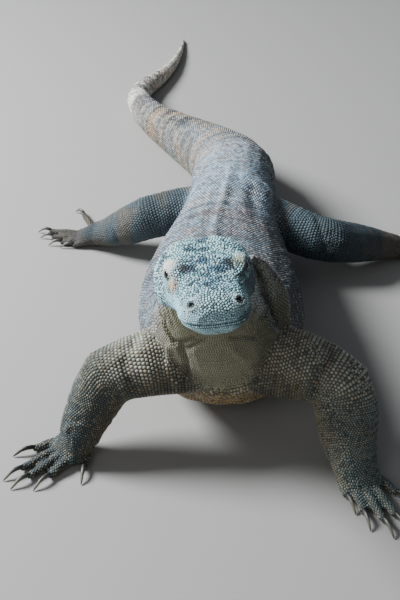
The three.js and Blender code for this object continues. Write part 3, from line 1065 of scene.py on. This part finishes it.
NEIGHBOURS = 12
SIDEWAYS = 0.15  # a neighbour further aside than this doesn't bound a scale in that direction
MOST_REACH, LEAST_REACH = 0.7, 0.22  # of the grain
MOST_UNEVEN = 1.16  # the farthest reach, of a scale's mean reach
tree = kd(root)
near = np.array([[n[1] for n in tree.find_n(p, NEIGHBOURS + 1)] for p in root.tolist()])
root_side = np.cross(root_normal, root_back)
offset = root[near] - root[:, None]
x = (offset * root_back[:, None]).sum(2)
y = (offset * root_side[:, None]).sum(2)
flat = np.hypot(x, y)
usable = (flat > 1e-6) & ((root_normal[near] * root_normal[:, None]).sum(2) > 0.2)
flat = np.maximum(flat, 1e-6)


def cell_reach(which, count):
    """How far, in mm, each of these scales reaches in count directions: half way to its neighbours, less the
    gap."""
    angles = (np.arange(count) + 0.5) * 2 * math.pi / count
    gap = root_gap[which][:, None] * (1 + root_rowed[which][:, None] * np.cos(2 * angles))
    cap = MOST_REACH * root_grain[which]
    reach = []
    for angle in angles:
        facing = (x[which] * math.cos(angle) + y[which] * math.sin(angle)) / flat[which]
        limit = flat[which] / 2 / np.maximum(facing, SIDEWAYS) / MM
        limit = np.where(usable[which] & (facing > SIDEWAYS), limit, FAR)
        reach.append(np.minimum(limit.min(1), cap))
    reach = np.stack(reach, 1)
    reach = np.minimum(reach, MOST_UNEVEN * reach.mean(1)[:, None])
    return angles, np.maximum(reach - gap / 2, LEAST_REACH * root_grain[which][:, None])


# ---- colours of the hide


def tone(red, green, blue):
    """A screen colour of 0 to 255 as linear light."""
    c = np.array((red, green, blue), float) / 255
    return np.where(c <= 0.04045, c / 12.92, ((c + 0.055) / 1.055) ** 2.4)


SLATE = (58, 62, 72)
NAVY = (36, 42, 54)
PALE_BLUE = (184, 214, 222)
TAN = (152, 140, 112)
ORANGE = (222, 178, 136)
OLIVE = (112, 108, 84)
BELLY = (138, 132, 108)
PINK = (148, 128, 124)


class Paint:
    """A colour for each point, with others painted over it in turn."""

    def __init__(self, colour):
        self.colour = colour

    def __call__(self, screen_colour, amount):
        amount = np.clip(amount, 0, 1)[:, None]
        self.colour = self.colour * (1 - amount) + tone(*screen_colour) * amount


def hide_colour_and_light(at, normal, weight):
    """The hide's colour at points of the body, with painted light and shade, without what differs from one scale
    to the next.
    """
    tones = np.array([tone(*PARTS[part_of(name)][TONE]) for name in REGIONS])
    paint = Paint(sum(weight[:, i : i + 1] * tones[i] for i in range(len(REGIONS))))
    along = along_line(at, SPINE_LINE)[0] / MM

    def patches(size, seed, low, high):
        return ease(mottle(at, size, seed), low, high)

    head, neck, trunk, tail = (share(weight, n) for n in ("head", "neck", "trunk", "tail"))
    arm, leg = share(weight, "arm", "hand"), share(weight, "leg", "foot")
    top = ease(normal[:, 2], 0, 0.8)
    under = ease(-normal[:, 2], 0.1, 0.7)

    # the tail goes from grey to tan, palest at the bend and the tip
    paint(TAN, 0.45 * tail * ease(along, 1100, 1500))
    paint((244, 240, 228), 0.9 * tail * ease(along, 1430, 1570))
    band = mottle(np.stack([along * MM, 0 * along, 0 * along], 1), 0.019, 5) + 0.6 * mottle(at, 0.045, 9)
    band = band - 0.8 * ease(along, 1640, 1720) * np.sign(band)
    paint((190, 148, 108), 0.6 * tail * ease(band, 0.1, 0.8))
    paint(SLATE, (0.8 * tail + 0.7 * trunk) * ease(-band, 0, 0.6) * (0.35 + 0.65 * top))

    # the back: bluish and pinkish patches
    paint((158, 168, 178), 0.6 * (trunk + 0.5 * tail) * patches(0.1, 21, -0.2, 0.7) * top)
    paint(PINK, 0.4 * (trunk + neck) * patches(0.045, 33, 0.1, 0.8))
    paint((112, 148, 176), 0.45 * (trunk + 0.5 * tail) * patches(0.055, 35, 0, 0.7))
    paint((150, 118, 92), 0.4 * (trunk + 0.5 * tail) * patches(0.038, 37, 0.15, 0.8))
    line = np.sin(along / 2.1 + 4 * mottle(at, 0.06, 39)) * ease(normal[:, 0], -0.3, 0.2)
    line = line * ease(along, 900, 700)
    paint((92, 84, 88), 0.5 * trunk * ease(line, 0.2, 1))
    # painted shade on the trunk's left side, away from the key light
    paint((66, 76, 84), 0.8 * trunk * ease(normal[:, 0], 0.1, 0.7))
    paint.colour *= (1 + 0.2 * trunk * (2 * ease(at[:, 1] + 0.5, 0, 0.3) - 1))[:, None]
    # painted light: a pale pool on the back over the hips
    pelvis_light = cloud(at, (-0.03, -0.19, 0.21), (0.11, 0.1, 0.1))
    paint((158, 184, 204), 0.7 * pelvis_light)
    along_ridge = path_bell(at, ((-52, -258, 230), (-66, -340, 236), (-76, -430, 240), (-78, -520, 246)), 15)
    paint((184, 180, 172), 0.3 * along_ridge * patches(0.022, 81, -0.6, 0.4))
    paint(BELLY, 0.7 * under * (trunk + tail + neck))

    # throat and chest
    front = ease(-normal[:, 1], 0.2, 0.8) * (neck + trunk * ease(-at[:, 1], 0.6, 0.75))
    paint((150, 147, 116), 0.78 * front)
    fringe = ease(0.4 * mottle(at, 0.03, 41) + (0.165 - at[:, 2]) / 0.05, 0.1, 1) * ease(-at[:, 1], 0.58, 0.7)
    inward = ease(-normal[:, 0] * np.sign(at[:, 0] + 0.07), 0.1, 0.8)
    beside = arm * ease(0.17 - np.abs(at[:, 0] + 0.07), 0, 0.05) * ease(-at[:, 1], 0.6, 0.75)
    paint((118, 112, 86), 0.7 * beside)
    paint((182, 148, 98), 0.7 * fringe * (trunk + neck + 0.6 * arm * inward))
    paint((124, 116, 108), 0.5 * neck * ease(-normal[:, 0], 0.2, 0.7) * ease(0.3 - at[:, 2], 0, 0.08))

    # the limbs: tan inside, darker below the elbow and on the hands
    lower = arm * ease(0.17 - at[:, 2], 0, 0.05)
    paint((80, 96, 106), 0.55 * lower * (1 - inward))
    paint((146, 120, 80), 0.65 * arm * np.maximum(under, inward * ease(at[:, 2], 0.03, 0.08)))
    paint(SLATE, 0.35 * (arm + leg) * patches(0.035, 51, 0.1, 0.9))
    paint(TAN, 0.3 * arm * patches(0.05, 57, 0.1, 0.9))
    # painted shade on the right foreleg below the shoulder, and painted light on the left foreleg, which the key
    # leaves in shade
    paint((62, 72, 70), 0.62 * arm * ease(0.1 - at[:, 0], 0, 0.1) * ease(0.25 - at[:, 2], 0, 0.07))
    paint((128, 146, 142), 0.45 * arm * ease(at[:, 0], 0.05, 0.12))
    # darker slate on the hind legs: on the right leg a little all over and more as painted shadow next to the
    # flank; on the left leg, away from the key, painted shade on its outer part
    flank_shadow = ease(0.24 - np.abs(at[:, 0] + 0.03), 0, 0.08)
    paint((46, 58, 64), leg * np.where(at[:, 0] < 0, 0.3 + 0.35 * flank_shadow, 0.7 * ease(at[:, 0], 0.1, 0.2)))
    paint((112, 96, 76), 0.5 * leg * ease(mottle(at * (1, 0.5, 0.3), 0.03, 59), 0, 0.8))
    paint((112, 96, 76), 0.4 * leg * ease(0.05 - at[:, 2], 0, 0.04))

    # the head
    h = to_head(at)

    def near(place, size, both=True):
        return cloud(mirrored(h) if both else h, place, size) * head

    crown = head * top
    behind = head * ease(40 - h[:, 1], 0, 70) * (1 - 0.6 * ease(h[:, 2], 14, 40))
    paint((130, 134, 134), 0.75 * behind)
    paint((50, 78, 100), 0.8 * crown * patches(0.024, 61, 0, 0.5) * ease(196 - h[:, 1], 0, 40))
    paint(PALE_BLUE, 0.6 * head * ease(h[:, 1], 170, 215))
    deep = near((0, 124, 44), (40, 62, 28)) * patches(0.018, 63, -0.8, 0.3)
    paint((60, 94, 124), 0.75 * deep)
    paint((70, 112, 140), 0.5 * near((0, 168, 30), (28, 30, 24)))
    paint(NAVY, near((37, 114, 43), (12, 20, 15)))
    # the right brow: its own pale cream colour, brightened to near white as a painted highlight on the side the
    # key lights
    paint((255, 253, 238), 1.4 * near((62, 92, 46), (14, 24, 17), both=False))
    paint((196, 200, 158), 0.85 * near((-56, 106, 42), (11, 26, 13), both=False))
    paint(OLIVE, 0.5 * near((-46, 150, 26), (10, 18, 14), both=False))
    paint((128, 92, 62), 0.8 * near((51, 137, 24), (6, 9, 15), both=False))
    paint(ORANGE, 1.15 * near((60, 125, 22), (11, 12, 13), both=False))
    # painted shade on the head's left side, away from the key, except where it faces up
    paint((46, 70, 76), 0.88 * head * ease(-h[:, 0], 12, 40) * ease(1 - top, 0, 0.75))
    paint((205, 208, 200), 0.8 * near((31, 206, 14), (12, 12, 10)))
    paint((116, 114, 98), 0.9 * head * ease(mouth_height(h[:, 1]) - h[:, 2], 9, 26))
    # the right shoulder's upward-facing beads: partly their own pale colour and partly painted light from above
    pale_and_lit_shoulder = arm * ease(at[:, 2], 0.12, 0.2) * ease(normal[:, 2], -0.2, 0.6) * ease(at[:, 0], -0.3, -0.23)
    paint((170, 174, 164), 0.6 * pale_and_lit_shoulder)
    hole = np.min([lengths((h - place) / shape) / dark for place, shape, *_, dark in HOLES], axis=0)
    hole = np.minimum(hole, 9)
    paint((150, 112, 78), 0.8 * (1 - ease(hole, 0.9, 1.2)))
    # painted shade deep inside the nostrils and ears
    paint((44, 30, 20), 1 - ease(hole, 0.45, 0.9))
    # painted shade in the groove of the mouth line
    lips = bell(h[:, 2] - mouth_height(h[:, 1]), 1.6) * ease(h[:, 1], 68, 80) * head
    paint((56, 60, 62), 0.6 * lips)
    # painted shade in the deep creases, and painted light on the high folds of the neck
    for path, height, width in FOLDS:
        if height < -4:
            crease = path_bell(at, path, 1.2 * width) * (1 - head) * (1 - 0.8 * trunk)
            paint((52, 50, 44), 0.05 * -height * crease)
        elif height > 5.5:
            paint((190, 190, 176), 0.05 * height * path_bell(at, path, width) * neck)
    # painted shadow deep in the crease between the jaw and the neck roll
    paint((30, 32, 26), 0.9 * path_bell(at, NECK_CREASE, 6.5) * (1 - head))
    # painted shade on the forward-facing left half of the neck, below the roll
    left_front_shade = neck * ease(at[:, 0], -0.02, 0.01) * ease(-normal[:, 1], 0, 0.5)
    # painted light on the upper part of the neck roll behind the head
    roll_light = path_bell(at, NECK_BULGE[0], 30) * (1 - head) * ease(at[:, 2], 0.29, 0.34)
    paint((66, 72, 62), 0.6 * left_front_shade * (1 - roll_light))
    paint((176, 190, 196), 0.8 * roll_light * (1 - path_bell(at, NECK_CREASE, 8)))
    return paint.colour


# ---- materials


def feed(node, inputs):
    """Gives each input its number, or links it to another node's output."""
    for key, value in inputs.items():
        if isinstance(value, bpy.types.NodeSocket):
            node.id_data.links.new(value, node.inputs[key])
        else:
            node.inputs[key].default_value = value
    return node


def new_material(name):
    material = bpy.data.materials.new(name)
    material.use_nodes = True
    return material, material.node_tree.nodes, material.node_tree.nodes["Principled BSDF"]


def attribute(nodes, name, output):
    node = nodes.new("ShaderNodeAttribute")
    node.attribute_name = name
    return node.outputs[output]


def mixed(nodes, how, amount, first, second):
    mix = nodes.new("ShaderNodeMix")
    mix.data_type = "RGBA"
    mix.blend_type = how
    return feed(mix, {"Factor": amount, 6: first, 7: second}).outputs[2]


def noise(nodes, place, **inputs):
    return feed(nodes.new("ShaderNodeTexNoise"), {"Vector": place, **inputs}).outputs["Fac"]


def ranged(nodes, value, **inputs):
    settings = {key.replace("_", " "): number for key, number in inputs.items()}
    return feed(nodes.new("ShaderNodeMapRange"), {"Value": value, **settings}).outputs["Result"]


def horn(nodes, shader, fine, dark, pale, strength, depth):
    """Coloured by the mesh's own tints, varied by fine noise, with a fine-grained horny surface."""
    vary = ranged(nodes, fine, From_Min=0.3, From_Max=0.7, To_Min=dark, To_Max=pale)
    bump = feed(nodes.new("ShaderNodeBump"), {"Strength": strength, "Distance": depth, "Height": fine})
    colour = mixed(nodes, "MULTIPLY", 1, attribute(nodes, "tint", "Color"), vary)
    feed(shader, {"Base Color": colour, "Normal": bump.outputs["Normal"]})


def hide_material(name, dark, bump_size, bump_depth, rough):
    material, nodes, shader = new_material(name)
    fine = noise(nodes, nodes.new("ShaderNodeTexCoord").outputs["Object"], Scale=bump_size, Detail=4)
    horn(nodes, shader, fine, dark, 1.12, 0.5, bump_depth)
    gloss = ranged(nodes, fine, To_Min=rough - 0.08, To_Max=rough + 0.12)
    feed(shader, {"Roughness": gloss, "Specular IOR Level": 0.35})
    return material


def point_data(mesh, name, kind, field, values):
    layer = mesh.attributes.new(name, kind, "POINT")
    layer.data.foreach_set(field, np.asarray(values, np.float32).ravel())


def tinted(mesh, colours):
    point_data(mesh, "tint", "FLOAT_COLOR", "color", np.concatenate([colours, np.ones((len(colours), 1))], 1))


skin_material = hide_material("hide", 0.8, 700, 0.0006, 0.7)
scale_material = hide_material("scale_horn", 0.86, 520, 0.0004, 0.5)

skin_mesh = mesh_from("skin", points, tri)
skin_mesh.shade_smooth()
# the skin between the scales: the hide's colour darkened, partly its own darker colour and partly painted shade
# in the gaps
paint = Paint(hide_colour_and_light(points, skin_normals, weight) * by_part(weight, GROOVE_TONE_AND_SHADE)[:, None])
paint((100, 82, 54), 0.5 * share(weight, "arm") * ease(points[:, 2], 0.1, 0.22))
tinted(skin_mesh, paint.colour)
skin_mesh.materials.append(skin_material)
skin = linked("skin", skin_mesh)
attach(skin, "root")
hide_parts(*FLESH)

# ---- the coat of scales

BEAD_LEAN = 0.14  # how far back a scale's top lies, of its reach
BEAD_LOWEST = 0.2 * MM  # over the ground
BEAD_SINK = 0.45  # mm, how far a scale's edge goes into the skin
SCALE_PATCH = 0.00125  # half the width of a scale's own patch, of the baked map's width
UV_EDGE = 0.01  # left free round the baked map
HEAD_BACK, HEAD_LONG = 60, 320  # mm, how far the head goes behind its base, and its length


def coat_uv():
    """A place on an unwrap of the hide for each root: along the body and round it, each region over the whole
    map.
    """
    spots = np.zeros((len(root), 2))
    for number, name in enumerate(REGIONS):
        here = root_region == number
        if name == "head":
            h = to_head(root[here])
            along, angle = (h[:, 1] + HEAD_BACK) / HEAD_LONG, np.arctan2(h[:, 0], h[:, 2])
        else:
            line = line_of(name)
            reach, stretch = along_line(root[here], line)[0], stretch_of(line)
            along = reach / stretch[-1]
            on_line = interp3(reach, stretch, line)
            way = interp3(reach, stretch, np.gradient(line, axis=0))
            out = root[here] - on_line
            across = np.cross(way, UP)
            across /= np.maximum(lengths(across), TINY)[:, None]
            angle = np.arctan2((out * across).sum(1), out[:, 2])
        spots[here] = np.stack([along.clip(0, 1), angle / (2 * math.pi) + 0.5], 1)
    return UV_EDGE + (1 - 2 * UV_EDGE) * spots


root_uv = coat_uv()
root_colour_and_light = hide_colour_and_light(root, root_normal, root_weight)
luck = chance.random((len(root), 4))


def scale_colour():
    """What differs from one scale to the next: pale, dark and rusty beads, by part."""
    head = share(root_weight, "head")
    arm = share(root_weight, "arm", "hand")
    leg = share(root_weight, "leg", "foot")
    body = share(root_weight, "trunk", "neck", "tail")
    calm = 1 - 0.75 * on_throat
    bright = ease(root_colour_and_light.sum(1), 0.5, 1.2)
    brow = cloud(to_head(root), (62, 90, 47), (16, 28, 20))
    smooth = (1 - 0.6 * small) * (1 - 0.8 * brow)
    row_luck = lattice(np.stack([root_row, root_row * 0, root_row * 0], 1), 91) * 2 - 1
    vary = (0.42 * body * calm + 0.26 * arm + 0.28 * leg + 0.58 * head * smooth) * (luck[:, 0] * 2 - 1)
    vary = vary + (0.2 * body * calm + 0.12 * (arm + leg)) * row_luck
    paint = Paint(root_colour_and_light * (1 + vary)[:, None])
    paint((196, 190, 168), (luck[:, 1] < 0.14) * 0.2 * arm)
    paint((156, 126, 84), (luck[:, 2] > 0.86) * 0.3 * arm)
    paint(SLATE, (luck[:, 1] > 0.86) * 0.55 * (arm + body * calm))
    paint((160, 124, 98), (luck[:, 2] < 0.06) * 0.4 * body * calm)
    paint((186, 188, 186), (luck[:, 2] > 0.9) * 0.5 * body * calm)
    paint(NAVY, (luck[:, 1] > 0.82) * 0.75 * head * smooth)
    paint((212, 244, 250), (luck[:, 1] < 0.32) * 0.85 * head * bright * smooth)
    return np.clip(paint.colour, 0.004, 0.9)


bead_colour_and_light = scale_colour()


def bead_mesh(name, which, count, rings):
    """Scales as low domes. rings gives each ring's share of the reach and of the height, edge first."""
    angles, reach = cell_reach(which, count)
    mean = reach.mean(1)[:, None]
    tall, lean = root_plump[which][:, None] * mean, BEAD_LEAN * mean
    layers = []
    for out, height in rings:
        lift = tall * height - (BEAD_SINK if height == 0 else 0)
        along, across = reach * out * np.cos(angles) + lean * height, reach * out * np.sin(angles)
        layers.append((along, across, np.broadcast_to(lift, along.shape)))
    layers.append((lean, 0 * lean, tall))
    along, across, lift = (np.concatenate(parts, 1) for parts in zip(*layers))
    axes = zip((along, across, lift), (root_back, root_side, root_normal))
    place = root[which][:, None] + sum(way[..., None] * axis[which][:, None] for way, axis in axes) * MM
    each = along.shape[1]
    last = (len(rings) - 1) * count
    top = [(last + k, last + (k + 1) % count, each - 1) for k in range(count)]
    faces = np.array(ring_faces(len(rings), count) + top)
    every = (faces[None] + (np.arange(len(which)) * each)[:, None, None]).reshape(-1, 3)
    flat_points = place.reshape(-1, 3)
    flat_points[:, 2] = np.maximum(flat_points[:, 2], BEAD_LOWEST)
    mesh = mesh_from(name, flat_points, every)
    mesh.shade_smooth()
    high = np.concatenate([np.full(count, h) for _, h in rings] + [np.array([1])])
    deep = root_edge_shade[which][:, None]
    # painted shade and light on each scale: darkest at its edge, lighter towards its top, with a painted
    # highlight on the top point
    shade = deep + (1 - deep) * np.minimum(1.15 * high, 1) + 0.1 * (high == 1)
    tinted(mesh, (bead_colour_and_light[which][:, None] * shade[..., None]).reshape(-1, 3))
    widest = reach.max(1)[:, None]
    patch = np.stack([along / widest, across / widest], 2) * SCALE_PATCH
    uv = (root_uv[which][:, None] + patch).reshape(-1, 2)
    layer = mesh.uv_layers.new(name="OFBake")
    layer.data.foreach_set("uv", uv[every.ravel()].astype(np.float32).ravel())
    mesh.materials.append(scale_material)
    return mesh


FULL_BEAD = ((1, 0), (0.92, 0.55), (0.6, 0.92))
PLAIN_BEAD = ((1, 0), (0.83, 0.74))
COAT = (
    # name, regions, slot, directions, rings
    ("scales_head", ("head",), "head_scales", 8, FULL_BEAD),
    ("scales_neck", ("neck",), "body_scales", 6, PLAIN_BEAD),
    ("scales_trunk", ("trunk",), "body_scales", 6, PLAIN_BEAD),
    ("scales_tail", ("tail",), "tail_scales", 6, PLAIN_BEAD),
    ("scales_arm_right", ("arm_right", "hand_right"), "leg_scales", 6, PLAIN_BEAD),
    ("scales_arm_left", ("arm_left", "hand_left"), "leg_scales", 6, PLAIN_BEAD),
    ("scales_leg_right", ("leg_right", "foot_right"), "leg_scales", 6, PLAIN_BEAD),
    ("scales_leg_left", ("leg_left", "foot_left"), "leg_scales", 6, PLAIN_BEAD),
)
MOST_TRIANGLES = 190000

for name, parts, slot, count, rings in COAT:
    which = np.nonzero(np.isin(root_region, [REGIONS.index(p) for p in parts]))[0]
    which = which[np.argsort(root[which, 1], kind="stable")]
    each = count * (2 * len(rings) - 1)
    shares = int(math.ceil(len(which) * each / MOST_TRIANGLES))
    for number, some in enumerate(np.array_split(which, shares)):
        label = name if shares == 1 else f"{name}_{number + 1}"
        coat = linked(label, bead_mesh(label, some, count, rings))
        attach(coat, "root")
        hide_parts(*[n for n in FLESH if region_of(n) in parts])

# ---- eyes

EYE_ACROSS, EYE_AROUND = 40, 48
CORNEA = 0.05  # how far the cornea stands out, of the eye's radius
PUPIL = 17  # degrees from the middle of the gaze
IRIS = 40

eye_material, nodes, shader = new_material("eye")
rings = nodes.new("ShaderNodeValToRGB")
stops = (
    (0, (4, 4, 5)),
    (PUPIL, (6, 5, 5)),
    (PUPIL + 1.8, (36, 26, 17)),
    (0.5 * (PUPIL + IRIS), (26, 19, 13)),
    (IRIS, (12, 10, 9)),
    (IRIS + 2.7, (10, 9, 8)),
    (72, (14, 12, 10)),
)
while len(rings.color_ramp.elements) < len(stops):
    rings.color_ramp.elements.new(0.5)
for element, (angle, colour) in zip(rings.color_ramp.elements, stops):
    element.position = angle / 90
    element.color = (*tone(*colour), 1)
feed(rings, {"Fac": attribute(nodes, "gaze", "Fac")})
flecks = noise(nodes, nodes.new("ShaderNodeTexCoord").outputs["Object"], Scale=900)
colour = mixed(nodes, "OVERLAY", 0.5, rings.outputs["Color"], flecks)
feed(shader, {"Base Color": colour, "Roughness": 0.08, "Coat Weight": 0.6, "Coat Roughness": 0.03})

for name, side in (("eye_right", 1), ("eye_left", -1)):
    out = unit(HEAD_TURN @ on_side(EYE_OUT, side))
    up = unit(HEAD_TURN[:, 2] - (HEAD_TURN[:, 2] @ out) * out)
    side_way = np.cross(up, out)
    turns = np.linspace(0, 2 * math.pi, EYE_AROUND + 1)[:-1]
    tilt, turn = np.meshgrid(np.linspace(0, math.pi, EYE_ACROSS + 1), turns, indexing="ij")
    size = (EYE_RADIUS - 0.1) * MM * (1 + CORNEA * (bell(np.degrees(tilt), 30) - bell(30, 30)))
    tilt, turn = tilt[..., None], turn[..., None]
    way = np.cos(tilt) * out + np.sin(tilt) * (np.cos(turn) * up + np.sin(turn) * side_way)
    ball = (middle(name) + size[..., None] * way).reshape(-1, 3)
    start, turned = np.divmod(np.arange(EYE_ACROSS * EYE_AROUND), EYE_AROUND)
    a, b = (start * EYE_AROUND + (turned + k) % EYE_AROUND for k in (0, 1))
    mesh = mesh_from("ball_" + name, ball, np.stack([a, a + EYE_AROUND, b + EYE_AROUND, b], 1))
    mesh.shade_smooth()
    point_data(mesh, "gaze", "FLOAT", "value", (np.degrees(tilt) / 90).clip(0, 1))
    mesh.materials.append(eye_material)
    eye = linked("ball_" + name, mesh)
    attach(eye, "root")
    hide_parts(name)

# ---- claws

CLAW_STEPS, CLAW_AROUND = 16, 14
CLAW_THICK = {"fore": 5.2, "hind": 4.6}  # mm, half the height at the root
CLAW_NARROW = 0.74  # its half width, of half its height
CLAW_BURIED = 0.12  # how much of its length goes into the toe

claw_material, nodes, shader = new_material("claw_horn")
streaks = noise(nodes, attribute(nodes, "grain", "Vector"), Scale=1, Detail=3)
horn(nodes, shader, streaks, 0.62, 1.15, 0.4, 0.0005)
feed(shader, {"Roughness": 0.38})

CLAW_TONES_AT = (0, 0.3, 0.75, 1)
CLAW_TONES = np.array([tone(44, 46, 46), tone(84, 86, 80), tone(116, 114, 100), tone(60, 58, 52)])
DARK_CLAWS = ("claw_fore_right_5",)

for name, (claw_root, claw_tip) in CLAW_ENDS.items():
    thick = CLAW_THICK[name.split("_")[1]]
    ahead = (claw_tip - claw_root) * (1, 1, 0)
    length = np.linalg.norm(ahead)
    ahead /= length
    side_way = np.cross(ahead, UP)
    t = np.linspace(-CLAW_BURIED, 1, CLAW_STEPS)
    root_height = claw_root[2] / MM
    heights = [root_height + rise for rise in (-1.5, 0, 1.6, -0.4)] + [0.5 * root_height, 1.6]
    height = np.interp(t, (-CLAW_BURIED, 0, 0.3, 0.55, 0.8, 1), heights)
    half = thick * np.sqrt(np.clip(1 - (t.clip(0, 1)) ** 1.7, 0.004, 1)) * np.where(t < 0, 0.92, 1)
    angle = np.linspace(0, 2 * math.pi, CLAW_AROUND + 1)[:-1]
    ring = (
        claw_root * (1, 1, 0)
        + (t * length)[:, None, None] * ahead
        + (half[:, None] * CLAW_NARROW * np.sin(angle))[..., None] * MM * side_way
    )
    lift = height[:, None] + half[:, None] * np.cos(angle) * np.where(np.cos(angle) > 0, 1, 0.85)
    ring[..., 2] = np.maximum(lift, 0.15) * MM
    count = CLAW_STEPS * CLAW_AROUND
    body = np.concatenate([ring.reshape(-1, 3), ring[:1].mean(1), ring[-1:].mean(1)])
    faces = ring_faces(CLAW_STEPS, CLAW_AROUND)
    for j in range(CLAW_AROUND):
        k = (j + 1) % CLAW_AROUND
        faces += [(k, j, count), (count - CLAW_AROUND + j, count - CLAW_AROUND + k, count + 1)]
    mesh = mesh_from("horn_" + name, body, np.array(faces))
    mesh.shade_smooth()
    share_along = np.concatenate([np.repeat(t, CLAW_AROUND), (t[0], t[-1])])
    colour = interp3(share_along, CLAW_TONES_AT, CLAW_TONES)
    if name in DARK_CLAWS:
        colour = colour * 0.3
    tinted(mesh, colour)
    around = np.concatenate([np.tile(angle, CLAW_STEPS), (0, 0)])
    streak_at = np.stack([share_along * 2, np.cos(around) * 3, np.sin(around) * 3], 1)
    point_data(mesh, "grain", "FLOAT_VECTOR", "vector", streak_at)
    mesh.materials.append(claw_material)
    claw = linked("horn_" + name, mesh)
    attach(claw, "root")
    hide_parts(name)
